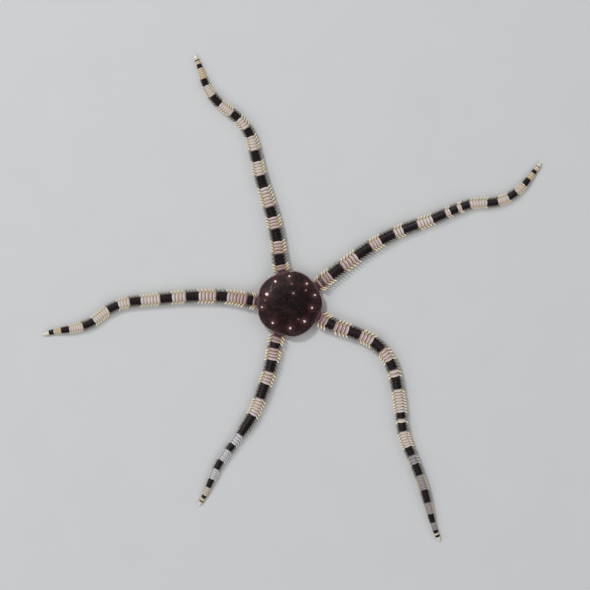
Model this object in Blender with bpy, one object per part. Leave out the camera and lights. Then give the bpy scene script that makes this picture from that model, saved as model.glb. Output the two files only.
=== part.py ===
"""A brittle star as a still, life-size model that lies on its underside with its five arms spread.

Metres, +Z up. The origin is on the floor, under the middle of the model's outline.
The arms keep to the floor. Each is parted by thin cuts into a few lengths, and so are the mouth parts.
"""
import math

import bmesh
import bpy
import numpy as np
from mathutils import Vector

MM = 0.001
GAP = 0.3 * MM  # between pieces that touch in life

# The disc, and where its middle lies
DISC_CENTRE = Vector((-0.75 * MM, -1.8 * MM, 0.0))
DISC_RADIUS = 10.0 * MM
DISC_HEIGHT = 5.6 * MM
RIM_HEIGHT = 2.5 * MM
UNDERSIDE_HEIGHT = 0.75 * MM
LOBE = 0.15 * MM  # how far the disc swells between two arms
DOME_SQUARENESS = 3.0
DOME_POWER = 0.6
COLUMNS = 45
BACK_RINGS = (0.97, 0.89, 0.80, 0.70, 0.57, 0.38, 0.18)  # shares of the radius
SOLE_RINGS = ((0.95, 0.42), (0.86, 0.12), (0.70, 0.0))  # share of the radius, and of the way up to the rim
FIRST_RAY = 34.7  # bearing of the right arm's shields, in degrees
RAYS = 5
RAY_STEP = 360 / RAYS

# The pair of bumps over each arm's base
BUMP_PLACE = 0.75  # of the disc's radius
BUMP_SPREAD = 15.0  # degrees either side of the arm
BUMP_WIDTH = 1.1 * MM
BUMP_HEIGHT = 0.3 * MM

# The mouth, in the middle of the underside
MOUTH_RADIUS = 4.35 * MM
MOUTH_ROOF = 1.6 * MM
JAW_TIP = 0.65 * MM  # distance from the middle
JAW_HEEL = 4.0 * MM
JAW_WIDTH = 1.9 * MM
JAW_HEIGHT = 1.05 * MM
JAW_SECTIONS = ((0.0, 0.86, 0.9), (0.22, 1.0, 1.0), (0.55, 0.78, 0.92), (0.85, 0.46, 0.72), (1.0, 0.26, 0.5))
JAW_SOLE = 0.6  # width of its lower and upper side, in shares of the greatest
JAW_TOP = 0.7
JAW_SHOULDER = 0.35  # height of the widest level, in shares of the jaw's
TRIM_LIFT = 0.1 * MM  # mouth parts stay this far off the floor
SHIELD_PLACE = 5.5 * MM
SHIELD_LENGTH = 1.7 * MM
SHIELD_WIDTH = 1.9 * MM
SHIELD_THICKNESS = 0.33 * MM
SHIELD_BEVEL = 0.08 * MM
SHIELD_CORNERS = 9
SHIELD_NARROWING = 0.35  # share of the width lost towards its point

# The arms
ARM_WIDTH = 3.2 * MM
ARM_TAPER = 0.42  # share of the width lost towards the tip
ARM_TAPER_POWER = 1.2
ARM_HEIGHT_TO_WIDTH = 0.76
TIP_STRETCH = 0.12  # share of the arm over which its end closes
TIP_CLOSING = 0.22  # share of the width that it loses there
SEGMENT = 1.09 * MM  # length of the largest segments
SHORTENING = 0.174  # how much shorter they grow towards the tip
ARM_START = 3.0 * MM  # where an arm's line leaves the mouth
ARM_INSET = 0.7 * MM  # how far an arm is let into the disc's edge
NOTCH_LENGTH = 2.1 * MM
RIDGE_START = 4.6 * MM
RIDGE_WIDTH = 2.6 * MM
RIDGE_SECTIONS = 5
SPINE_REACH = 1.05 * MM
SPINE_TAPER = 0.5
SPINE_END = (0.80, 0.95)  # share of the arm over which the spines die away
WALK_STEP = 0.2 * MM

# Half a section of an arm from its sole to its back, in shares of its half width and its height
SECTION = ((0.62, 0.0), (1.0, 0.27), (0.97, 0.62), (0.52, 1.0))
SPINE_HEIGHT = 0.42

# Each arm's line: where it leaves the mouth, its length, and its bearing in degrees at even steps along it.
# The front left arm lost its end once, and the regrown stretch is thinner.
ARMS = {
    "back": {
        "ray": 106.7,
        "length": 79.8 * MM,
        "pieces": 5,
        "bearings": (100, 103, 95, 102, 106, 108, 102, 103, 128, 147, 126, 106, 116),
    },
    "right": {
        "ray": 34.7,
        "length": 86.3 * MM,
        "pieces": 5,
        "bearings": (25, 39, 36, 37, 31, 24, 18, 24, 21, -2, 29, 52, 55),
    },
    "front_right": {
        "ray": -29.6,
        "length": 89.5 * MM,
        "pieces": 5,
        "bearings": (-14, -33, -17, -25, -53, -77, -83, -84, -66, -69, -75, -76, -66),
    },
    "front_left": {
        "ray": -109.3,
        "length": 64.5 * MM,
        "pieces": 4,
        "bearings": (-111, -112, -101, -101, -111, -108, -119, -124, -127, -126, -114, -113, -124),
        "regrown_from": 36.5 * MM,
        "regrown_width": 0.88,
    },
    "left": {
        "ray": 178.7,
        "length": 74.3 * MM,
        "pieces": 5,
        "bearings": (180, 171, 169, 179, 181, 185, 186, 184, 201, 223, 196, 187, 197),
    },
}


def smooth_step(value):
    """Rise from 0 to 1 with level ends."""
    value = min(max(value, 0.0), 1.0)
    return value * value * (3 - 2 * value)


def material(name, colour, roughness):
    made = bpy.data.materials.new(name)
    made.use_nodes = True
    shader = made.node_tree.nodes["Principled BSDF"]
    shader.inputs["Base Color"].default_value = (*colour, 1.0)
    shader.inputs["Roughness"].default_value = roughness
    shader.inputs["Metallic"].default_value = 0.0
    return made


def mesh_object(name, bm, collection, finish):
    """Turn a bmesh into a named object in a collection."""
    mesh = bpy.data.meshes.new(name)
    bm.to_mesh(mesh)
    bm.free()
    made = bpy.data.objects.new(name, mesh)
    collection.objects.link(made)
    if finish is not None:
        mesh.materials.append(finish)
    return made


def loft(bm, rings):
    """Join rings of points into a closed skin, and return the faces of each step.

    Seen along the loft, a ring runs clockwise.
    """
    rows = [[bm.verts.new(point) for point in ring] for ring in rings]
    steps = []
    for near, far in zip(rows, rows[1:]):
        corners = range(len(near))
        steps.append([bm.faces.new((near[i - 1], near[i], far[i], far[i - 1])) for i in corners])
    bm.faces.new(reversed(rows[0]))
    bm.faces.new(rows[-1])
    return steps


class ArmLine:
    """An arm's middle line on the floor, walked in short steps that turn from one bearing to the next."""

    def __init__(self, arm):
        self.arm = arm
        self.length = arm["length"]
        self.walked = np.linspace(0.0, self.length, round(self.length / WALK_STEP) + 1)
        turns = np.linspace(0.0, self.length, len(arm["bearings"]))
        self.heading = np.radians(np.interp(self.walked, turns, arm["bearings"]))
        middle = (self.heading[1:] + self.heading[:-1]) / 2
        stride = self.walked[1]
        ray = math.radians(arm["ray"])
        self.x = ARM_START * math.cos(ray) + stride * np.concatenate(([0.0], np.cumsum(np.cos(middle))))
        self.y = ARM_START * math.sin(ray) + stride * np.concatenate(([0.0], np.cumsum(np.sin(middle))))
        self.start = self.reaches(DISC_RADIUS - ARM_INSET)

    def reaches(self, radius):
        """How far along the line it comes this far from the disc's middle."""
        inner = len(self.walked) // 2
        return float(np.interp(radius, np.hypot(self.x, self.y)[:inner], self.walked[:inner]))

    def place(self, s):
        """The point on the line, and the directions forward and to the left of it."""
        point = Vector((np.interp(s, self.walked, self.x), np.interp(s, self.walked, self.y), 0.0))
        heading = float(np.interp(s, self.walked, self.heading))
        forward = Vector((math.cos(heading), math.sin(heading), 0.0))
        left = Vector((-math.sin(heading), math.cos(heading), 0.0))
        return DISC_CENTRE + point, forward, left

    def share(self, s):
        """How far along the free arm a place is, from 0 at the disc to 1 at the tip."""
        return (s - self.start) / (self.length - self.start)

    def joints(self):
        """Where the segments meet, closer together towards the tip."""
        free = self.length - self.start
        count = round(free * (1 + SHORTENING) / SEGMENT)
        t = np.linspace(0.0, 1.0, count + 1)
        return self.start + free * (t * (1 + SHORTENING) - SHORTENING * t**3)

    def regrowth(self, s):
        """How wide the arm is there, in shares of an arm that was never lost."""
        regrown = self.arm.get("regrown_from", self.length)
        thinner = 1 - self.arm.get("regrown_width", 1.0)
        return 1 - thinner * smooth_step((s - regrown) / SEGMENT / 2)

    def width(self, s):
        u = max(self.share(s), 0.0)
        closing = 1 - TIP_CLOSING * smooth_step((u - 1 + TIP_STRETCH) / TIP_STRETCH)
        return ARM_WIDTH * (1 - ARM_TAPER * u**ARM_TAPER_POWER) * closing * self.regrowth(s)

    def spine_reach(self, s):
        u = self.share(s)
        fading = 1 - smooth_step((u - SPINE_END[0]) / (SPINE_END[1] - SPINE_END[0]))
        return SPINE_REACH * (1 - SPINE_TAPER * u) * fading * self.regrowth(s)


def section_ring(line, s, width, height, grow=0.0):
    """One section of an arm: up its left side and down its right."""
    middle, _, left = line.place(s)
    half = []
    for share, rise in SECTION:
        up = rise * height + grow if rise > 0 else 0.0
        half.append((share * width / 2 + grow, up))
    ring = [middle + left * across + Vector((0, 0, up)) for across, up in half]
    return ring + [middle - left * across + Vector((0, 0, up)) for across, up in reversed(half)]


def arm_piece(name, line, joints, collection, finish):
    """One length of an arm: a loft through its joints, with a spine drawn out of each segment's sides."""
    stations = list(joints)
    stations[0] += GAP / 2
    if joints[-1] < line.length:
        stations[-1] -= GAP / 2
    rings = []
    for s in stations:
        width = line.width(s)
        rings.append(section_ring(line, s, width, width * ARM_HEIGHT_TO_WIDTH))
    bm = bmesh.new()
    steps = loft(bm, rings)
    sides = (2, len(rings[0]) - 2)
    for near, far, faces in zip(stations, stations[1:], steps):
        reach = line.spine_reach(far)
        if near < line.start + SEGMENT / 2 or reach < GAP:
            continue
        middle, _, left = line.place(far)
        width = line.width(far)
        up = Vector((0, 0, SPINE_HEIGHT * width * ARM_HEIGHT_TO_WIDTH))
        for corner, side in zip(sides, (1, -1)):
            poked = bmesh.ops.poke(bm, faces=[faces[corner]])
            across = left * side * (width / 2 + reach)
            poked["verts"][0].co = middle + across + up
    return mesh_object(name, bm, collection, finish)


def make_arm(name, arm, collection, finish):
    line = ArmLine(arm)
    joints = line.joints()
    cuts = np.linspace(0, len(joints) - 1, arm["pieces"] + 1).round().astype(int)
    for number, (first, last) in enumerate(zip(cuts, cuts[1:]), start=1):
        arm_piece(f"arm_{name}_{number}", line, joints[first : last + 1], collection, finish)


def bump_height(bearing, radius):
    """The swelling of the ten bumps at one place on the disc's back."""
    height = 0.0
    for ray in range(RAYS):
        for side in (-1, 1):
            angle = math.radians(FIRST_RAY + ray * RAY_STEP + side * BUMP_SPREAD - bearing)
            place = BUMP_PLACE * DISC_RADIUS
            away = math.hypot(radius - place * math.cos(angle), place * math.sin(angle))
            height += BUMP_HEIGHT * math.exp(-((away / BUMP_WIDTH) ** 2))
    return height


def disc_radius(bearing):
    return DISC_RADIUS - LOBE * math.cos(math.radians(RAYS * (bearing - FIRST_RAY)))


def make_disc(collection, cutters, finish):
    """The disc: a cushion in rings of points, notched for the arms, flat under each arm's line."""
    mouth = MOUTH_RADIUS / DISC_RADIUS
    bearings = [FIRST_RAY + 360 * column / COLUMNS for column in range(COLUMNS)]

    def ring(share, height):
        row = []
        for bearing in bearings:
            radius = disc_radius(bearing) * share
            angle = math.radians(bearing)
            up = height(bearing, radius, share)
            row.append(DISC_CENTRE + Vector((radius * math.cos(angle), radius * math.sin(angle), up)))
        return row

    def dome(bearing, radius, share):
        rise = (1 - share**DOME_SQUARENESS) ** DOME_POWER
        return RIM_HEIGHT + (DISC_HEIGHT - RIM_HEIGHT) * rise + bump_height(bearing, radius)

    rings = [ring(mouth, lambda b, r, s: MOUTH_ROOF)]
    for share, rise in ((mouth, 0.0), *reversed(SOLE_RINGS)):
        level = UNDERSIDE_HEIGHT + rise * (RIM_HEIGHT - UNDERSIDE_HEIGHT)
        rings.append(ring(share, lambda b, r, s, level=level: level))
    rings.append(ring(1.0, lambda b, r, s: RIM_HEIGHT))
    rings += [ring(share, dome) for share in BACK_RINGS]
    bm = bmesh.new()
    loft(bm, rings)
    flat_caps = [face for face in bm.faces if len(face.verts) == COLUMNS]
    for cap in flat_caps:
        top = cap.calc_center_median().z > RIM_HEIGHT
        bmesh.ops.poke(bm, faces=[cap])
        if top:
            bm.verts.ensure_lookup_table()
            bm.verts[-1].co.z = DISC_HEIGHT
    disc = mesh_object("disc", bm, collection, finish)
    for name, arm in ARMS.items():
        line = ArmLine(arm)
        carve(disc, notch_cutter(f"notch_{name}", line, cutters), "DIFFERENCE")
        carve(disc, ridge_tool(f"ridge_{name}", line, cutters), "UNION")
    return disc


def notch_cutter(name, line, cutters):
    """The space that an arm's base takes out of the disc's edge, with the gap round it."""
    bm = bmesh.new()
    height = ARM_WIDTH * ARM_HEIGHT_TO_WIDTH
    stations = (line.start - GAP / 2, line.start + ARM_INSET, line.start + NOTCH_LENGTH)
    rings = [section_ring(line, s, ARM_WIDTH, height, grow=GAP) for s in stations]
    for ring in rings:
        for point in (ring[0], ring[-1]):
            point.z = -GAP
    loft(bm, rings)
    return guide(mesh_object(name, bm, cutters, None))


def ridge_tool(name, line, cutters):
    """The flat-soled ridge under the disc, in line with an arm, on which the disc rests."""
    bm = bmesh.new()
    stations = np.linspace(line.reaches(RIDGE_START), line.start - GAP / 2, RIDGE_SECTIONS)
    height = UNDERSIDE_HEIGHT + 2 * GAP
    loft(bm, [section_ring(line, s, RIDGE_WIDTH, height) for s in stations])
    return guide(mesh_object(name, bm, cutters, None))


def guide(made):
    made.hide_render = True
    made.display_type = "WIRE"
    return made


def carve(target, tool, operation):
    modifier = target.modifiers.new(tool.name, "BOOLEAN")
    modifier.operation = operation
    modifier.solver = "EXACT"
    modifier.object = tool


def polar(radius, bearing, up):
    angle = math.radians(bearing)
    return DISC_CENTRE + Vector((radius * math.cos(angle), radius * math.sin(angle), up))


def make_jaw(number, bearing, collection, finish):
    """A jaw: a wedge that points at the middle of the mouth, deeper at its heel."""
    angle = math.radians(bearing)
    inwards = Vector((-math.cos(angle), -math.sin(angle), 0.0))
    across = Vector((-inwards.y, inwards.x, 0.0))
    rings = []
    for along, wide, deep in JAW_SECTIONS:
        radius = JAW_HEEL + (JAW_TIP - JAW_HEEL) * along
        middle = DISC_CENTRE - inwards * radius + Vector((0, 0, TRIM_LIFT))
        side = across * JAW_WIDTH * wide / 2
        top = Vector((0, 0, JAW_HEIGHT * deep))
        flank = top * JAW_SHOULDER
        rings.append([
            middle + side * JAW_SOLE, middle + side + flank, middle + side * JAW_TOP + top,
            middle - side * JAW_TOP + top, middle - side + flank, middle - side * JAW_SOLE,
        ])
    bm = bmesh.new()
    loft(bm, rings)
    return mesh_object(f"jaw_{number}", bm, collection, finish)


def make_shield(number, bearing, collection, finish):
    """An oral shield: a rounded plate, pointed towards the mouth."""
    outline = []
    for corner in range(SHIELD_CORNERS):
        turn = 2 * math.pi * corner / SHIELD_CORNERS
        along = math.cos(turn)
        narrowing = 1 - SHIELD_NARROWING * max(-along, 0.0)
        outline.append((along * SHIELD_LENGTH / 2, math.sin(turn) * SHIELD_WIDTH / 2 * narrowing))
    bm = bmesh.new()
    rings = []
    edge = 1 - 4 * SHIELD_BEVEL / SHIELD_WIDTH
    levels = ((edge, 0.0), (1.0, SHIELD_BEVEL), (1.0, SHIELD_THICKNESS))
    for share, up in levels:
        ring = []
        for out, across in outline:
            angle = math.radians(bearing)
            forward = Vector((math.cos(angle), math.sin(angle), 0.0))
            left = Vector((-forward.y, forward.x, 0.0))
            centre = polar(SHIELD_PLACE, bearing, TRIM_LIFT + up)
            ring.append(centre + (forward * out + left * across) * share)
        rings.append(ring)
    loft(bm, rings)
    return mesh_object(f"oral_shield_{number}", bm, collection, finish)


def main():
    for old in list(bpy.data.objects):
        bpy.data.objects.remove(old, do_unlink=True)
    star = bpy.data.collections.new("brittle_star")
    cutters = bpy.data.collections.new("brittle_star_cutters")
    for collection in (star, cutters):
        bpy.context.scene.collection.children.link(collection)
    disc_skin = material("disc_skin", (0.030, 0.014, 0.013), 0.30)
    arm_plate = material("arm_plate", (0.22, 0.19, 0.18), 0.42)
    jaw_bone = material("jaw_bone", (0.44, 0.33, 0.24), 0.50)
    shield_bone = material("shield_bone", (0.36, 0.27, 0.22), 0.45)
    make_disc(star, cutters, disc_skin)
    for name, arm in ARMS.items():
        make_arm(name, arm, star, arm_plate)
    for number in range(1, RAYS + 1):
        bearing = FIRST_RAY + RAY_STEP * (number - 0.5)
        make_jaw(number, bearing, star, jaw_bone)
        make_shield(number, bearing, star, shield_bone)


main()
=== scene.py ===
"""The looks of the brittle star: one skin over disc and arms, the arms' plates and spines, and the mouth."""
import math

import bmesh
import bpy
import numpy as np
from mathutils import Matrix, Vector, noise


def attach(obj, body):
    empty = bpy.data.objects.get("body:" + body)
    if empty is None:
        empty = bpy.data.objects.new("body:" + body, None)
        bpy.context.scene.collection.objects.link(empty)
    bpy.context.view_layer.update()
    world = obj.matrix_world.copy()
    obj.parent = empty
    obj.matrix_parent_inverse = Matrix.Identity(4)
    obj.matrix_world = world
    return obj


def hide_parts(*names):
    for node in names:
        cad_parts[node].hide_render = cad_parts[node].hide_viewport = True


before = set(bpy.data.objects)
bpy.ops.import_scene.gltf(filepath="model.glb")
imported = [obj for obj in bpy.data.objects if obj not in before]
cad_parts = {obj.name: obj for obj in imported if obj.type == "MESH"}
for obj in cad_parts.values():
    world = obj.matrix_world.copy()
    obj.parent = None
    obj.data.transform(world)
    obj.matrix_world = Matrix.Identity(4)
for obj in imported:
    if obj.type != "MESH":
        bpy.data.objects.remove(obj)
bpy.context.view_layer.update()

MM = 0.001
TURN = 2 * math.pi

# The disc, as in the frame
DISC_CENTRE = np.array((-0.75, -1.8, 0.0)) * MM
DISC_RADIUS = 10.0 * MM
DISC_HEIGHT = 5.6 * MM
RIM_HEIGHT = 2.5 * MM
UNDERSIDE_HEIGHT = 0.75 * MM
DOME_SQUARENESS = 3.0
DOME_POWER = 0.6
LOBE = 0.15 * MM
FIRST_RAY = 34.7  # bearing of the right arm's shields, in degrees
RAYS = 5
RAY_STEP = 360 / RAYS

# The disc's skin: a cord along its edge between the arms, pale partly of its own and partly by painted rim
# light, and a tongue over each arm's base with a notch on both sides
RIM_CORD = 0.2 * MM
PLAIN_RADIUS = DISC_RADIUS - RIM_CORD * 0.8  # of the edge without lobes, tongues and notches
CORD_LEAST = 0.15  # what is left of the cord at the arms
CORD_FADE = 1.6 * MM
TONGUE = 0.5 * MM
TONGUE_WIDTH = 1.5 * MM
TONGUE_ROUNDNESS = 2.6
TONGUE_THICKNESS = 0.07 * MM
TONGUE_EDGE = 0.45  # height of the roof's edge over an arm, in shares of its crown's
NOTCH = 0.28 * MM
NOTCH_PLACE = 2.1 * MM
NOTCH_WIDTH = 0.8 * MM
NOTCH_DROP = 0.4 * MM  # how much lower the rim runs in a notch
RIM_SOFTNESS = 0.12 * MM
OUTLINE_FROM = 0.8  # share of the radius from which the rings of points follow the edge's outline
SHOULDER_FROM = 0.72  # and from which the back follows the rim's height
ARM_SLOPE = 0.22  # how much gentler the dome falls towards an arm
ARM_SLOPE_FROM = 0.35
ARM_SLOPE_SPREAD = 17.0  # degrees
MIDDLE_DIP = 0.10 * MM
MIDDLE_DIP_WIDTH = 0.25  # of the radius
WRINKLE = 0.05 * MM
WRINKLE_SIZE = 0.9 * MM
WRINKLED = 8.8 * MM  # distance from the middle at which the wrinkles begin to fade
WRINKLE_ROUGHNESS = (0.8, 2.1, 2)
COLUMNS = 320
BACK_RINGS = 60
SOLE_RINGS = 34
CORD_RINGS = 11

# The knobs on the disc: distance from the middle and width in millimetres, and bearing in degrees. The small
# ones get no painted white glint on their tops.
KNOBS = (
    (7.3, 1.35, 157), (7.9, 1.0, 122), (8.3, 0.9, 90), (8.0, 0.85, 49), (8.1, 0.9, 19), (6.9, 0.85, -10),
    (7.0, 1.0, -49), (7.3, 0.95, -88), (7.6, 0.9, -131), (8.3, 0.8, 187), (3.4, 0.6, 68),
    (6.1, 0.45, 83), (6.5, 0.45, 39), (7.4, 0.4, 172), (5.4, 0.35, -60),
)
KNOB_WIDTH = 1.0 * MM
KNOB_HEIGHT = 0.55  # in shares of its width
KNOB_SUNK = 0.06
KNOB_BED = 0.24 * MM  # height of the swelling under a knob
KNOB_BED_WIDTH = 0.8 * MM
KNOB_HALO_WIDTH = 1.1 * MM

# The underside: the mouth's opening, and a slit on each side of each arm
MOUTH_RADIUS = 4.35 * MM
MOUTH_ROOF = 1.6 * MM
MOUTH_SWELL = 0.33 * MM  # how far the skin round the mouth bulges down
MOUTH_SWELL_END = (6.0 * MM, 1.4 * MM)  # where the bulge begins to fade, and over what length
SLIT_PLACE = 1.95 * MM
SLIT_WIDTH = 0.17 * MM
SLIT_DEPTH = 0.45 * MM
SLIT_SPAN = (5.3 * MM, 8.9 * MM)
LIP_HEIGHT = 0.11 * MM
LIP_WIDTH = 0.12 * MM

# Where the finish of the skin changes, and how its bake map is parted
ARM_SKIN_FROM = (8.6 * MM, 1.9 * MM)  # distance from the middle, and the length of the change
ARM_SKIN_EDGE = (1.5 * MM, 0.4 * MM)  # the same beside the arm's line
SOLE_RIDGE = (0.6 * MM, 10.4 * MM)  # top of the arms' soles under the disc, and their end
RIM_MARK_END = 10.6 * MM
UNDER_MARK_END = 10.2 * MM
UNDER_MARK_TOP = (RIM_HEIGHT - 0.5 * MM, 0.6 * MM)
SLIT_MARK_WIDTH = 0.2 * MM
SLIT_MARK_TOP = 1.4 * MM
ARM_STRIPS_FROM = 10.9 * MM
UNDERSIDE_TOP = 1.5 * MM
MAP_REACH = 11.4 * MM  # distance from the middle that the disc's two maps take in
MAP_SHARE = 0.48

# The arms, as in the frame
ARM_WIDTH = 3.2 * MM
ARM_TAPER = 0.42
ARM_TAPER_POWER = 1.2
ARM_HEIGHT_TO_WIDTH = 0.76
TIP_STRETCH = 0.12
TIP_CLOSING = 0.22
SEGMENT = 1.09 * MM
ARM_START = 3.0 * MM
ARM_INSET = 0.7 * MM
RIDGE_START = 4.6 * MM
RIDGE_WIDTH = 0.86  # of an arm under the disc, in shares of its width outside
WALK_STEP = 0.2 * MM

# The arms' fine build
PITCH_TAPER = 0.42  # how much shorter the segments are at the tip
PITCH_POWER = 1.5
INNER_PITCH = 1.15  # segments under the disc for each length of one outside
FIRST_PALENESS = 0.45  # of the stretch that comes out from under the disc
INNER_PALENESS = 0.85  # of the stretch under the disc
SECTION_MIDDLE = 0.45  # the widest level of an arm's section, in shares of its height
PLATE_DEPTH = 0.12 * MM  # how deep under the arm's outline the plates' foot lies
SKIN_DEPTH = 0.17 * MM
JOINT_DEPTH = 0.23 * MM
FLOOR_GAP = 0.01 * MM
ROUND_ARM = 24  # points in a section of the skin

# The plates: pairs of a share along or across and a rise in shares of the thickness, below 0 where tucked in
TUCKED = -0.9
LIP = (
    (0.0, TUCKED), (0.03, 0.2), (0.3, 0.45), (0.6, 0.7), (0.82, 0.95),
    (0.93, 1.0), (0.985, 0.8), (1.0, 0.25), (0.99, TUCKED),
)
CREST = (
    (0.0, TUCKED), (0.04, 0.3), (0.35, 0.55), (0.7, 0.85),
    (0.9, 1.0), (0.98, 0.8), (1.0, 0.1), (0.98, TUCKED),
)
BACK_SPAN = (-64, 64)  # angles on the arm's section, in degrees from the middle of the back
SIDE_SPANS = {"left": (52, 138), "right": (-138, -52)}
SOLE_SPAN = (143, 217)
BACK_PLATES_FROM = 9.9 * MM
PLATE_WOBBLE = 0.012  # radians
PATCH_INSET = 0.04  # the margin of each small part's patch in the bake's map, in shares of the patch

# The spines: rows of an angle on the arm's section, a lift in degrees and a length
SPINE_ROWS = ((60, 20, 1.0), (80, 8, 0.86), (100, -4, 0.86), (122, -10, 0.66))
INNER_SPINE_ROWS = ((104, 0, 0.45), (124, -6, 0.40))
SPINE_PROFILE = (
    (-0.10, 0.80), (0.0, 1.02), (0.06, 1.0), (0.12, 0.80), (0.3, 0.96),
    (0.5, 0.96), (0.7, 0.86), (0.85, 0.68), (0.95, 0.46), (0.985, 0.26),
)
SPINE_LENGTH = 1.5 * MM
SPINE_THICKNESS = 0.44 * MM
SPINE_TAPER = 0.42
SPINE_END = (0.80, 0.96)  # share of the arm over which they die away
SPINE_LEAST = 0.25
SPINE_PLACE = 0.84  # on the segment
SPINE_SPLAY = math.radians(54)  # between a spine and its arm's line
SPINE_BEND = 0.10
FIRST_SPINES_LONGER = 0.22
FIRST_SPINES_END = 0.05  # share of the arm
LOWEST_SPINE = 0.2 * MM
STEEPEST_SPINE = 0.9  # sine of the angle
SPLAY_SPREAD = 0.05  # radians
LIFT_SPREAD = 2.5  # degrees

# The scales over the tube feet, and the pointed last plate of each arm
SCALE_ANGLE = math.radians(140)
SCALE_TILT = math.radians(150)
SCALE_TURN = 0.35
SCALE_PLACE = 0.62
SCALE_LENGTH = 0.46  # of the segment
SCALE_WIDTH = 0.13  # of the arm's
SCALE_OUT = 0.02 * MM
SCALE_LOWEST = 0.21 * MM
TIP_POINT = 0.25 * MM  # how far the last plate runs past the end of the arm's line
TIP_WIDTH = 0.89  # in shares of the arm's
TIP_LEVEL = 0.42
TIP_PROFILE = ((-0.12, 0.76), (0.0, 0.93), (0.15, 1.0), (0.4, 0.88), (0.65, 0.66), (0.85, 0.38), (0.96, 0.18))
TIP_CORE = 0.15 * MM  # how far the skin runs into it at full width

# The mouth's parts
JAW_TIP = 0.62 * MM
JAW_HEEL = 4.62 * MM
JAW_WIDTH = 4.1 * MM
JAW_LEVEL = 0.64 * MM
JAW_DEPTH = 0.53 * MM
JAW_OUTLINE = ((0.0, 0.08, 0.2, 0.45, 0.7, 0.9, 1.0), (0.66, 0.95, 1.0, 0.66, 0.37, 0.22, 0.17))
JAW_SIDES = 28
JAW_GROOVE = 0.2 * MM
JAW_GROOVE_WIDTH = 0.13 * MM
# width of the darker band along the jaw's groove
JAW_DARKENING_WIDTH = 0.16 * MM
JAW_HOLLOW = 0.06 * MM
JAW_CREASE = 0.06 * MM
CREASE_PLACE = 0.30
TEETH = 4
TOOTH_STEP = 0.24 * MM
TOOTH_SIZE = (0.2 * MM, 0.46 * MM, 0.62 * MM)
TOOTH_LEVEL = 0.3 * MM
MOUTH_INSET = 0.1 * MM  # how far the feet of teeth and papillae are sunk into the jaw
PAPILLAE = 6
PAPILLA_SIZE = (0.36 * MM, 0.34 * MM, 0.95 * MM)
PAPILLA_LEVEL = 0.36 * MM
PAPILLA_TURN = 112
SHIELD_PLACE = 5.45 * MM
SHIELD_LENGTH = 2.1 * MM
SHIELD_WIDTH = 2.3 * MM
SHIELD_LEVEL = 0.12 * MM
SHIELD_POINTING = 0.75
SHIELD_SIDES = 32
SHIELD_DOME = ((0.97, 0.45), (1.0, 0.28), (0.96, 0.15), (0.86, 0.07), (0.6, 0.02), (0.3, 0.0))
WING_PLACE = (4.75 * MM, 1.12 * MM)
WING_WIDTH = 0.78 * MM
WING_LENGTH = 1.9 * MM
WING_TWIST = 52
WING_POINTING = 0.1

# Each arm's line and its banding: lengths of its dark and pale stretches by turns, in millimetres from the
# disc's edge. A faint band is a dark one that is paler than the rest, and a greyish one is a duller pale one.
ARMS = {
    "back": {
        "ray": 106.7,
        "length": 79.8 * MM,
        "pieces": 5,
        "bearings": (100, 103, 95, 102, 106, 108, 102, 103, 128, 147, 126, 106, 116),
        "bands": (0.9, 1.7, 3.3, 3.9, 3.8, 3.7, 3.1, 6.2, 3.8, 4.4, 3.4, 4.5,
                  2.7, 3.7, 2.7, 4.5, 3.5, 3.7, 2.2, 3.4, 1.3, 1.1, 0.4, 1.2),
    },
    "right": {
        "ray": 34.7,
        "length": 86.3 * MM,
        "pieces": 5,
        "bearings": (25, 39, 36, 37, 31, 24, 18, 24, 21, -2, 29, 52, 55),
        "bands": (1.2, 0.7, 0.9, 2.9, 4.2, 5.6, 5.1, 3.6, 4.6, 2.9, 4.6, 4.9, 4.3,
                  1.6, 2.4, 1.3, 2.6, 5.3, 3.3, 3.5, 2.8, 3.4, 2.2, 2.2, 1.1, 1.2, 0.3, 1.1),
        "faint": {2: 0.17, 26: 0.3},
    },
    "front_right": {
        "ray": -29.6,
        "length": 89.5 * MM,
        "pieces": 5,
        "bearings": (-14, -33, -17, -25, -53, -77, -83, -84, -66, -69, -75, -76, -66),
        "bands": (1.3, 2.0, 2.3, 4.6, 3.7, 4.3, 3.8, 4.1, 2.9, 2.3, 3.8, 7.1, 1.9,
                  1.2, 2.7, 5.0, 2.7, 2.9, 3.6, 4.7, 4.0, 3.6, 2.7, 2.4, 1.0, 0.6, 0.7, 1.1),
        "greyish": (17, 19, 21, 23),
    },
    "front_left": {
        "ray": -109.3,
        "length": 64.5 * MM,
        "pieces": 4,
        "bearings": (-111, -112, -101, -101, -111, -108, -119, -124, -127, -126, -114, -113, -124),
        "bands": (1.1, 1.9, 1.6, 3.8, 3.5, 4.0, 4.6, 5.7, 7.0, 3.6,
                  2.3, 3.8, 3.0, 3.4, 2.7, 2.7, 0.9, 0.9, 0.5, 1.2),
        "regrown_from": 36.5 * MM,
        "regrown_width": 0.88,
    },
    "left": {
        "ray": 178.7,
        "length": 74.3 * MM,
        "pieces": 5,
        "bearings": (180, 171, 169, 179, 181, 185, 186, 184, 201, 223, 196, 187, 197),
        "bands": (0.9, 0.7, 1.8, 6.1, 3.2, 5.4, 3.8, 4.3, 3.6, 5.9,
                  3.4, 3.6, 3.4, 5.5, 3.7, 4.3, 2.5, 2.4, 1.4, 1.6),
    },
}

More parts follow.
